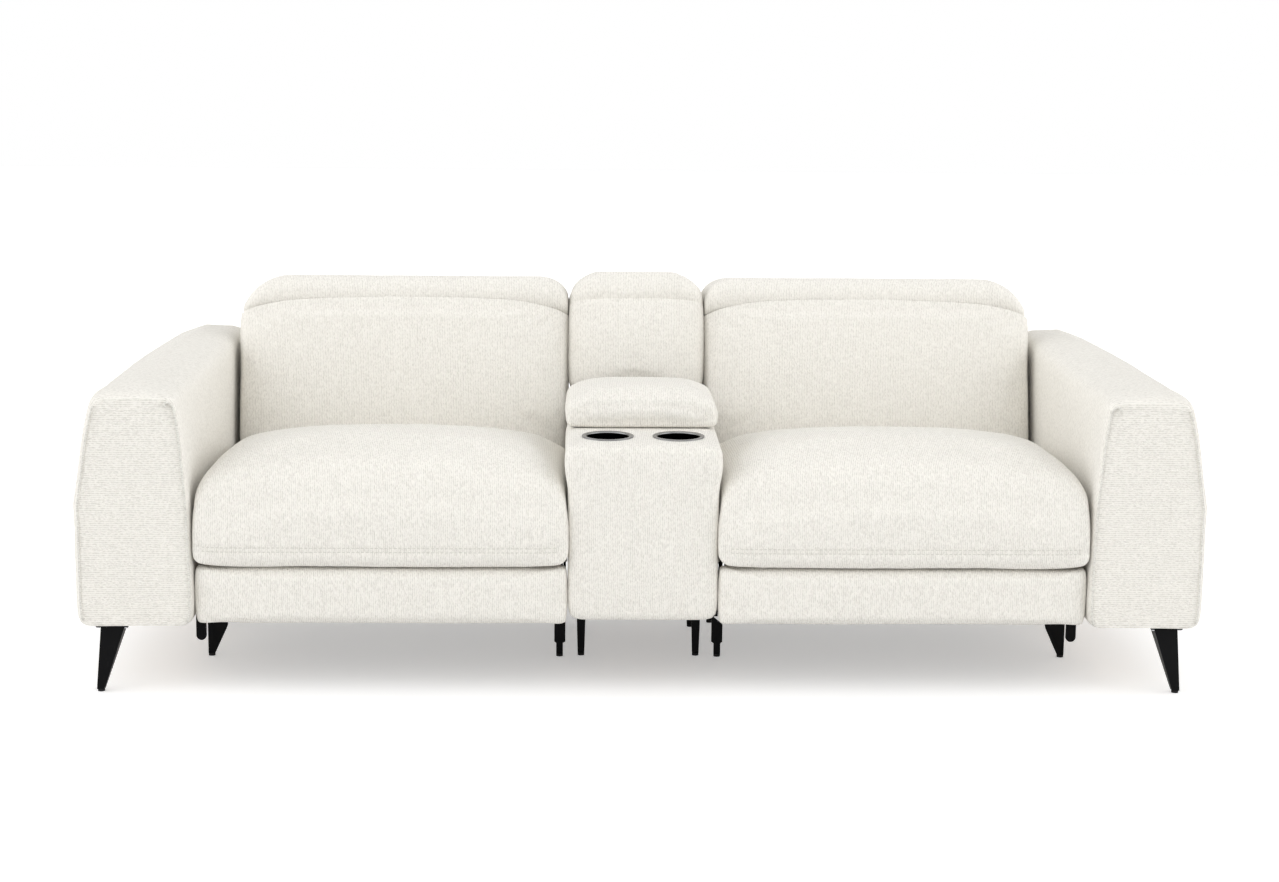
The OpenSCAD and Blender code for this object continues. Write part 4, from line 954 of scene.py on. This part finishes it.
# Share of the height, and how far the face is drawn in, as a share of the depth
FOOT_ROWS = [[0, 0.2], [0.02, 0.11], [0.08, 0.04], [0.2, 0.01], [0.5, 0], [0.8, 0.01],
             [0.92, 0.04], [0.98, 0.1], [1, 0.16]]
foot_rings = []
depth = FOOT_BACK - FOOT_FACE
for share, draw in fill_rows(FOOT_ROWS):
    ring = oval(SEAT_HALF - depth * draw * 0.4 - FOOT_ROOM / 2,
                FOOT_FACE + 2 * FOOT_ROOM + depth * draw,
                FOOT_FACE + depth * 0.62, FOOT_BACK, 7, 14)
    z = FOOT_LOW + FOOT_ROOM + share * (FOOT_HIGH - FOOT_LOW - 2 * FOOT_ROOM)
    foot_rings.append([Vector((SEAT_X + x, y, z)) for x, y in even(ring)])
foot_pad = skin("right_footrest_upholstery", foot_rings, (1.5, 1.5))
puff(foot_pad, 6, 4, lambda p: p.y > FOOT_BACK - 14)
ripple(foot_pad, 0.9, 120, 7.0)
upholster_pair(foot_pad, "footrest", "footrest_pad")

# %% [markdown]
# ## The backrests
# A backrest's front face leans back and bulges a little in its middle. Its upper corners are
# rounded, wide at the arm and tight at the console, and both the cushion and the headrest
# above it follow nearly the same arcs. Rings run upwards. The top is hollowed for the
# headrest's roll, which turns in that hollow when it flips up.

# %% The back cushions' outline
LEAN = math.tan(math.radians(17))
# A place that the front face passes through, as depth and height
FACE_Y, FACE_Z = 122.0, 480.0
BACK_X, BACK_HALF, PAD = 507.0, 361.0, 112.0
BACK_LOW, BACK_HIGH = 348.0, 709.0
BACK_TOP, PIVOT, ROLL = 743.0, (240.0, 699.0), 42.0
# A height above every piece
ABOVE = 760
# The radii of the upper corners, on the console's side and on the arm's
CORNERS = (60, 102)
# Share of the height, and how far the edge is drawn in
BACK_ROWS = [[0, 30], [0.015, 18], [0.06, 7.2], [0.16, 1.8], [0.34, 0], [0.55, 0],
             [0.75, 0], [0.864, 0.4], [0.906, 1.6], [0.939, 3.2], [0.972, 5.4], [1, 13]]


def back_face(z):
    return FACE_Y + (z - FACE_Z) * LEAN


def corner_cut(t, r):
    t = max(0.0, t)
    return 0.0 if t >= r else r - math.sqrt(r * r - (r - t) * (r - t))


def back_rings(middle, half, low, high, bulge, radii):
    rings = []
    for share, draw in fill_rows(BACK_ROWS):
        z = low + ROOM + share * (high - low - 2 * ROOM)
        front = back_face(z) - bulge * math.sin(math.pi * share) + draw + ROOM
        cut = [corner_cut(BACK_TOP - z, r) for r in radii]
        ring = oval(half - ROOM - draw * 0.1 - sum(cut) / 2, front,
                    front + (PAD - draw) * 0.6, back_face(z) + PAD, 3.4, 12)
        shift = middle + (cut[0] - cut[1]) / 2
        rings.append([Vector((shift + x, y, z)) for x, y in even(ring)])
    return rings


def back_held(p, top):
    """The rear, which rests on the frame, and the seam along the top."""
    return p.y > back_face(p.z) + PAD - 25 or p.z > top


print("the backrests lean", round(math.degrees(math.atan(LEAN))), "degrees")

# %% The back cushions
back = skin("right_back_pad",
            back_rings(BACK_X, BACK_HALF, BACK_LOW, BACK_HIGH, 14, CORNERS), (2, 0))
puff(back, 7, 4, lambda p: back_held(p, 672))
ripple(back, 1.6, 170, 11.0)
ripple(back, 0.45, 40, 4.0)
carve(back, [
    prism(circle(PIVOT, ROLL + FIT), 0, 0, ARM_OUTER),
    block((0, PIVOT[0], PIVOT[1] - ROLL - 2), (ARM_OUTER, -FRONT, ABOVE)),
])
upholster_pair(back, "back", "back_cushion")

# %% [markdown]
# ## The headrests
# Folded, a headrest is the top roll of the backrest with a flat tail behind it. Its front is
# half a cylinder about the pivot, so it keeps its place while the rest swings up. The rings
# run from side to side, and the rounded corners shrink them towards both ends. Underneath
# are two slots for the brackets that carry it.

# %% The headrests
HEAD_LOW, TAIL_R, HEAD_LENGTH = PIVOT[1] - ROLL, 30.0, 232.0
# Half its width, its corners' radii, and how much its padding adds to the roll
HEAD_HALF, HEAD_CORNERS, HEAD_SWELL = 360.5, (60, 106), 0.8
# A rounded end is still this high at its tip, and its tail is drawn in this far there
TIP_HEIGHT, TIP_DRAW, TIP_STEPS = 14, 40, 14
TURN_STEPS = 240


def head_ring(share, draw, x, rise=0.0):
    """The pad's section, shrunk towards the foot of its front roll."""
    tail_y = PIVOT[0] + HEAD_LENGTH - TAIL_R - draw
    points = []
    for k in range(TURN_STEPS):
        a = math.radians(90) + math.tau * k / TURN_STEPS
        front = k < TURN_STEPS / 2
        r = (ROLL if front else TAIL_R) + HEAD_SWELL
        y, z = (PIVOT if front else (tail_y, HEAD_LOW + TAIL_R))
        y, z = y + r * math.cos(a), z + r * math.sin(a)
        y = PIVOT[0] + (y - PIVOT[0]) * (share if front else 1)
        points.append([y, HEAD_LOW + (z - HEAD_LOW) * share + rise])
    return [Vector((x, y, z)) for y, z in even(points)]


def head_end(r):
    """Stations along a rounded end: distance, height share, how far the tail is drawn in."""
    start = r - math.sqrt(max(0.0, r * r - max(0.0, r - 2 * ROLL + TIP_HEIGHT) ** 2))
    first = max(start, r * 0.04)
    rows = []
    for s in [k / TIP_STEPS for k in range(TIP_STEPS + 1)]:
        t = first + s * s * (r - first)
        rows.append((t, 1 - corner_cut(t, r) / (2 * ROLL), TIP_DRAW * (1 - s * s) ** 3))
    return rows


def head_rings(middle, half, radii, rise=0.0):
    inner, outer = head_end(radii[0]), head_end(radii[1])
    rings = [head_ring(share, draw, middle - half + t, rise) for t, share, draw in inner]
    start, end = middle - half + radii[0], middle + half - radii[1]
    steps = max(2, round((end - start) / 16))
    rings += [head_ring(1, 0, start + (end - start) * k / steps, rise)
              for k in range(1, steps)]
    return rings + [head_ring(share, draw, middle + half - t, rise)
                    for t, share, draw in outer[::-1]]


head = skin("right_headrest_upholstery", head_rings(BACK_X, HEAD_HALF, HEAD_CORNERS), (2, 2))
puff(head, 5, 1.5, lambda p: p.z < HEAD_LOW + 8)
ripple(head, 0.7, 130, 21.0)
print("headrest pad:", [round(v / MM) for v in head.dimensions], "mm")

# %% The headrests' brackets
BRACKETS_X, BRACKET_REACH, BRACKET_HALF = (254.0, 754.0), 92.0, 4.5
KNUCKLE_R, KNUCKLE_HALF = 12.5, 27.0
cutters = []
for x in BRACKETS_X:
    cutters.append(prism(circle(PIVOT, KNUCKLE_R, 32), 0, x - KNUCKLE_HALF, x + KNUCKLE_HALF))
    sweep = [(PIVOT[0] + BRACKET_REACH * math.cos(math.radians(a)),
              PIVOT[1] + BRACKET_REACH * math.sin(math.radians(a)))
             for a in range(214, 322, 6)]
    cutters.append(prism([PIVOT] + sweep, 0, x - BRACKET_HALF, x + BRACKET_HALF))
carve(head, cutters)
upholster_pair(head, "headrest", "headrest_pad")

# %% [markdown]
# ## The console
# The console is a tall box in the same cloth. It has soft vertical edges, a ledge with two
# round openings for the cups, and a bin behind them. Its cover is made from rings that run
# backwards. Its sides swell between the seats, and most beside the ledge, where no seat
# presses on them. Then the cups, the bin and the wooden box are cut out of it.

# %% The console's skin
CON_X, CON_LOW, CON_LINE, LEDGE = 143.0, 152.0, 325.0, 499.0
CON_FRONT, CON_REAR = -465.0, 119.8
# Station behind the front, drawn-in side, raised low edge, lowered top
CON_ROWS = [[0, 16, 12, 16], [3.2, 9, 6, 9], [8.8, 3, 2, 4], [20, 0, 0, 1], [40, 0, 0, 0]]
# The sides' swelling, and how much more there is above the level where the seats end
CON_SWELL, LEDGE_SWELL, SWELL_LOW, SWELL_SPAN = 3.8, 6.7, 400.0, 60.0
# The station where the swelling ends, the length over which it fades, and the front's bulge
SWELL_END, SWELL_FADE, CON_BULGE = 480.0, 200.0, 3.0
CON_STEP = 17
rows = fill_rows(CON_ROWS, 4)
rows += [[CON_ROWS[-1][0] + k * CON_STEP, 0, 0, 0] for k in range(1, 31)]
rows += [[CON_REAR - CON_FRONT - 10, 0, 0, 0], [CON_REAR - CON_FRONT, 4, 3, 4]]
console_rings = []
for station, side, low, high in rows:
    ring = oval(CON_X - side, CON_LOW - 3 + low, CON_LINE, LEDGE - high, 16, 16)
    fade = clamp((SWELL_END - station) / SWELL_FADE)
    points = []
    for x, z in even(ring):
        t = clamp((z - SWELL_LOW) / SWELL_SPAN)
        swell = (CON_SWELL + LEDGE_SWELL * t * t * (3 - 2 * t)) * fade
        points.append(Vector((x * (1 + swell / CON_X), CON_FRONT + station, z)))
    console_rings.append(points)
console = skin("console_upholstery", console_rings, (5, 0))
for vertex in console.data.vertices:
    where = vertex.co / MM
    inside = max(0.0, 1 - (where.x / CON_X) ** 2)
    if where.y < CON_FRONT + 40:
        rise = math.pi * (where.z - CON_LOW) / (LEDGE - CON_LOW)
        vertex.co.y -= CON_BULGE * MM * inside * math.sin(rise)
    if where.z < LEDGE - 30:
        vertex.co += vertex.normal * 0.9 * MM * noise.noise(vertex.co * 9 + Vector((5, 1, 2)))
print("console skin:", [round(v / MM) for v in console.dimensions], "mm")

# %% The console's openings
CUP_X, CUP_Y, CUP_R, CUP_GAP = 69.5, -370.0, 42.0, 1.7
# The wooden box, and the bin in it
BIN_HALF, CON_BOX_Y, CON_BOX_TOP = 119.0, (-445, 95), 484
BIN_Y, BIN_LOW = (-265, 45), 100
carve(console, [
    block((-BIN_HALF - FIT, CON_BOX_Y[0] - FIT, 0),
          (BIN_HALF + FIT, CON_BOX_Y[1] + FIT, CON_BOX_TOP + FIT)),
    block((-BIN_HALF - FIT, BIN_Y[0] - FIT, BIN_LOW), (BIN_HALF + FIT, BIN_Y[1] + FIT, 600)),
    block((-300, HOOK_Y[0] - FIT, HOOK_Z[0] - FIT), (300, HOOK_Y[1] + FIT, HOOK_Z[1] + FIT)),
    prism(circle((CUP_X, CUP_Y), CUP_R + CUP_GAP), 2, 400, 600),
    prism(circle((-CUP_X, CUP_Y), CUP_R + CUP_GAP), 2, 400, 600),
])
upholster(console, "root", ["console_cover"])

# %% [markdown]
# ## The lid and the console's backrest
# The lid is a crowned pad on a board, full at the front and lower at its hinge. The narrow
# backrest behind it is one piece with its own top roll, so a short seam line shows where
# the two meet. Both are made as the seats and backrests were.

# %% The lid's pad
LID_FRONT, LID_REAR, LID_HALF = -285.0, 50.0, 152.5
LID_LOW, LID_TOP, LID_SINK, LID_ROOM = 501.5, 580.0, 1.6, 5.0
BOARD_HALF, BOARD_Y, BOARD_TOP = 138, (-273, 44), 513.5
HINGE_HALF, HINGE_Y, HINGE_TOP = 110, (43, 200), 517
# Share of the length, drawn-in side, raised low edge, crown
LID_ROWS = [[0, 12, 2.5, 0.66], [0.008, 6, 1, 0.78], [0.03, 2, 0, 0.87], [0.07, 0, 0, 0.94],
            [0.16, 0, 0, 0.99], [0.32, 0, 0, 0.97], [0.6, 0, 0, 0.88], [0.8, 0, 0, 0.78],
            [0.92, 1.9, 0, 0.62], [1, 8, 0, 0.36]]
lid_rings = []
height = LID_TOP - LID_LOW
for share, side, lift, crown in fill_rows(LID_ROWS):
    ring = oval(LID_HALF - side, LID_LOW - LID_SINK + lift,
                LID_LOW + 0.34 * height * crown + lift / 2,
                LID_LOW + height * crown - LID_ROOM, 12, 3.2)
    lid_rings.append([Vector((x, LID_FRONT + 1 + share * (LID_REAR - LID_FRONT - 2), z))
                      for x, z in even(ring)])
lid = skin("lid_upholstery", lid_rings, (3, 1))
puff(lid, 5, 4, lambda p: p.z < LID_LOW + 12)
ripple(lid, 0.8, 110, 15.0)
board_pocket = block((-BOARD_HALF - FIT, BOARD_Y[0] - FIT, 480),
                     (BOARD_HALF + FIT, BOARD_Y[1] + FIT, BOARD_TOP + FIT))
hinge_pocket = block((-HINGE_HALF, HINGE_Y[0], 480), (HINGE_HALF, HINGE_Y[1], HINGE_TOP))
carve(lid, [board_pocket, hinge_pocket])
upholster(lid, "lid", ["lid_pad"])

# %% The console's backrest
REST_HALF, REST_LOW, REST_HIGH, REST_CORNERS = 150, 503, 708, (66, 66)
# The console's roll is this much narrower on each side, and this much higher than the pads'
ROLL_INSET, ROLL_RISE = 2, 9
console_back = skin("console_back_pad",
                    back_rings(0, REST_HALF, REST_LOW, REST_HIGH, 7, REST_CORNERS), (2, 0))
console_roll = skin("console_back_roll",
                    head_rings(0, REST_HALF - ROLL_INSET, REST_CORNERS, ROLL_RISE), (2, 2))
for piece, cap, held in ((console_back, 5, lambda p: back_held(p, 676)),
                         (console_roll, 4, lambda p: p.z < HEAD_LOW + 14)):
    puff(piece, 6, cap, held)
    ripple(piece, 1.1, 120, 31.0)
upholster(console_back, "root", ["console_back_cushion"])
upholster(console_roll, "root", ["console_back_cushion"])

# %% [markdown]
# ## The cup holders
# Each cup is spun from thin steel: a rim that rolls over, a straight wall and a rounded
# floor. A section turned round its axis gives all of it. The section follows the metal's
# outside down and its inside up, so the cup has a real wall.


# %% Turned parts
AROUND = 128


def lathe(name, section, center, materials, around=AROUND, axis=2):
    """Turns a section of [radius, along] round an axis. It starts and ends on the axis."""
    points, faces = [], []
    inner = section[1:-1]
    for r, h in inner:
        for k in range(around):
            turn = math.tau * k / around
            u, v = r * math.cos(turn), r * math.sin(turn)
            point = (u, v, h) if axis == 2 else (h, u, v)
            points.append([c + p for c, p in zip(center, point)])
    for r, h in (section[0], section[-1]):
        point = (0, 0, h) if axis == 2 else (h, 0, 0)
        points.append([c + p for c, p in zip(center, point)])
    n, first = len(inner), len(inner) * around
    for i in range(n - 1):
        for k in range(around):
            j = (k + 1) % around
            faces.append((i * around + k, i * around + j, (i + 1) * around + j,
                          (i + 1) * around + k))
    for k in range(around):
        j = (k + 1) % around
        faces.append((first, j, k))
        faces.append((first + 1, (n - 1) * around + k, (n - 1) * around + j))
    return mark_sharp(make_object(name, points, faces, materials), 40)


def arc(center, radius, start, end, steps=6):
    return [(center[0] + radius * math.cos(math.radians(start + (end - start) * k / steps)),
             center[1] + radius * math.sin(math.radians(start + (end - start) * k / steps)))
            for k in range(steps + 1)]


print("a cup has", AROUND, "sides")

# %% The cups
# Radius and height over the ledge, from the middle of the underside, over the rim, to the
# middle of the floor
CUP_SECTION = ([(0, -72), (36, -72)] + arc((36, -65), 7.0, -90, 0) + [(43.2, -1.5)]
               + arc((46, -1.5), 2.8, 180, 90, 3) + [(49.4, 0.1), (51, 0.35)]
               + arc((49.4, 1.1), 1.6, -20, 90, 5) + [(46, 2.5)]
               + arc((45, -0.5), 3.0, 90, 180) + [(42, -20), (42, -63)]
               + arc((35.5, -64.3), 6.5, 0, -90) + [(20, -70.5), (0, -70.2)])
cup = lathe("right_cup", CUP_SECTION, (CUP_X, CUP_Y, LEDGE), [cup_steel, cup_inner])
# The bore below the rim is in its own shade, so it takes the darker finish
for polygon in cup.data.polygons:
    reach = (polygon.center / MM - Vector((CUP_X, CUP_Y, polygon.center.z / MM))).length
    polygon.material_index = int(polygon.center.z < (LEDGE - 2) * MM and reach < CUP_R + 0.2)
upholster_pair(cup, "root", "cup_holder")

# %% [markdown]
# ## The buttons
# Each arm has an opening and a closing button in a black plate. A button is a small turned
# cap with a rounded edge and a dished top, so that a finger finds it.

# %% The buttons
# Radius and height, from the middle of the underside to the middle of the dished top
BUTTON = ([(0, 0), (8.4, 0), (9, 0.6), (9, 7.0)] + arc((8.0, 7.0), 1.0, 0, 90, 4)
          + [(6.5, 7.9), (4, 7.3), (2, 7.05), (0, 7.0)])
for kind in ("open_button", "close_button"):
    low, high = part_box("right_" + kind)
    middle = (low + high) / 2 / MM
    start = low.x / MM
    cap = lathe("right_" + kind + "_cap", BUTTON, (start, middle.y, middle.z),
                [button_steel], around=48, axis=0)
    upholster_pair(cap, kind, kind)

# %% [markdown]
# ## The backs' shells
# Behind each backrest is an upholstered shell, and the console has a narrow one of the same
# kind. They are plain boards in cloth, so the solid's own outline serves: it is copied, its
# flat faces are joined up, and its edges are rounded as padding rounds them. Piping marks
# the edge of the rear face.


# %% The shells
def soften(name, node, width=6.0):
    """A copy of a solid with its edges rounded."""
    source = frame["nodes"][node]
    piece = bpy.data.objects.new(name, source.data.copy())
    bpy.context.scene.collection.objects.link(piece)
    piece.data.materials.clear()
    piece.data.materials.append(cloth)
    work = bmesh.new()
    work.from_mesh(piece.data)
    bmesh.ops.remove_doubles(work, verts=work.verts, dist=0.01 * MM)
    bmesh.ops.dissolve_limit(work, angle_limit=math.radians(1), verts=work.verts,
                             edges=work.edges)
    work.to_mesh(piece.data)
    work.free()
    bevel = piece.modifiers.new("round", "BEVEL")
    bevel.width = width * MM
    bevel.segments = 4
    bevel.limit_method = "ANGLE"
    bevel.angle_limit = math.radians(30)
    apply_modifiers(piece)
    return mark_sharp(piece, 60)


# The rear face's lower and upper edge, how far back they are, and how deep the piping sinks
SHELL_LOW, SHELL_HIGH, SHELL_FOOT, SHELL_HEAD, PIPING_SINK = 215.0, 653.0, 400.0, 480.0, 1.5
# The piping's distance from the face's sides and ends, and the radius of its corners
SIDE_INSET, END_INSET, PIPING_CORNER = 4.0, 6.0, 8.0


def rear_point(x, z):
    slope = (SHELL_HEAD - SHELL_FOOT) * (z - SHELL_LOW) / (SHELL_HIGH - SHELL_LOW)
    return Vector((x, SHELL_FOOT + slope - PIPING_SINK, z))


def rear_piping(name, x0, x1):
    """Piping round the sloping rear face of a shell."""
    path = []
    for right, up, start in ((-1, -1, 180), (1, -1, 270), (1, 1, 0), (-1, 1, 90)):
        x = x1 - SIDE_INSET if right > 0 else x0 + SIDE_INSET
        z = SHELL_HIGH - END_INSET if up > 0 else SHELL_LOW + END_INSET
        center = (x - PIPING_CORNER * right, z - PIPING_CORNER * up)
        path += [rear_point(u, w) for u, w in arc(center, PIPING_CORNER, start, start + 90, 5)]
    return tube(name, path, REAR_PIPING, closed=True)


print("piping", 2 * REAR_PIPING, "mm thick runs round the rear faces")

# %% The rear pieces
SHELL_X, PANEL_X = (149, 859), (-145, 145)
shell = soften("right_shell_upholstery", "right_back_shell")
upholster_pair(shell, "back", "back_shell")
upholster_pair(rear_piping("right_shell_piping", *SHELL_X), "back")
rear_panel = soften("console_rear_upholstery", "console_rear_panel", 4.0)
upholster(rear_panel, "root", ["console_rear_panel"])
upholster(rear_piping("console_rear_piping", *PANEL_X), "root")

# %% [markdown]
# ## Floor and light
# The picture has a white background and only a soft shadow under the sofa. The floor is
# nearly white, and seen from the camera it glows a little, so that it fades into the
# background while its shadow stays. The world gives even light from all sides. A wide sun
# from above and in front models the cushions. Two low and stronger ones, from the left and
# from the right, reach the inner sides of the arms.


# %% Floor
def seen(tree):
    """1 for a ray from the camera, a mirror or glass, and 0 for one that carries light."""
    rays = add_node(tree, "LightPath").outputs
    mirrored_rays = math_node(tree, "MAXIMUM", rays["Is Glossy Ray"], rays["Is Transmission Ray"])
    return math_node(tree, "MAXIMUM", rays["Is Camera Ray"], mirrored_rays)


FLOOR_X, FLOOR_Y, FLOOR_Z = (-11000, 11000), (-6000, 14000), -0.5
floor_points = [(x, y, FLOOR_Z) for y in FLOOR_Y for x in FLOOR_X]
floor = make_object("floor", floor_points, [(0, 1, 3, 2)], [])
floor_material, tree, shader, place = start_material("floor_paper", (0.86, 0.86, 0.86), 0.9)
shader.inputs["Specular IOR Level"].default_value = 0.1
FLOOR_GLOW = 0.36
shader.inputs["Emission Color"].default_value = (1, 1, 1, 1)
tree.links.new(math_node(tree, "MULTIPLY", seen(tree), FLOOR_GLOW),
               shader.inputs["Emission Strength"])
grain = noise_value(tree, place["Object"], 60.0)
tree.links.new(blend_colors(tree, grain, (0.85, 0.85, 0.85), (0.87, 0.87, 0.87)),
               shader.inputs["Base Color"])
floor.data.materials.append(floor_material)
print("floor", floor.dimensions[:2])

# %% Light
world = bpy.data.worlds.new("studio")
bpy.context.scene.world = world
world.use_nodes = True
tree = world.node_tree
background = tree.nodes["Background"]
background.inputs["Color"].default_value = (1, 1, 1, 1)
WORLD_LIGHT, WORLD_SEEN = 0.66, 1.0
tree.links.new(remap(tree, seen(tree), 0, 1, WORLD_LIGHT, WORLD_SEEN),
               background.inputs["Strength"])


def add_sun(name, strength, spread, tilt):
    data = bpy.data.lights.new(name, "SUN")
    data.energy = strength
    data.angle = math.radians(spread)
    sun = bpy.data.objects.new(name, data)
    sun.rotation_euler = [math.radians(a) for a in tilt]
    bpy.context.scene.collection.objects.link(sun)


add_sun("key", 0.6, 60, (42, 0, -8))
add_sun("left_fill", 1.5, 70, (76, 0, -80))
add_sun("right_fill", 1.5, 70, (76, 0, 80))
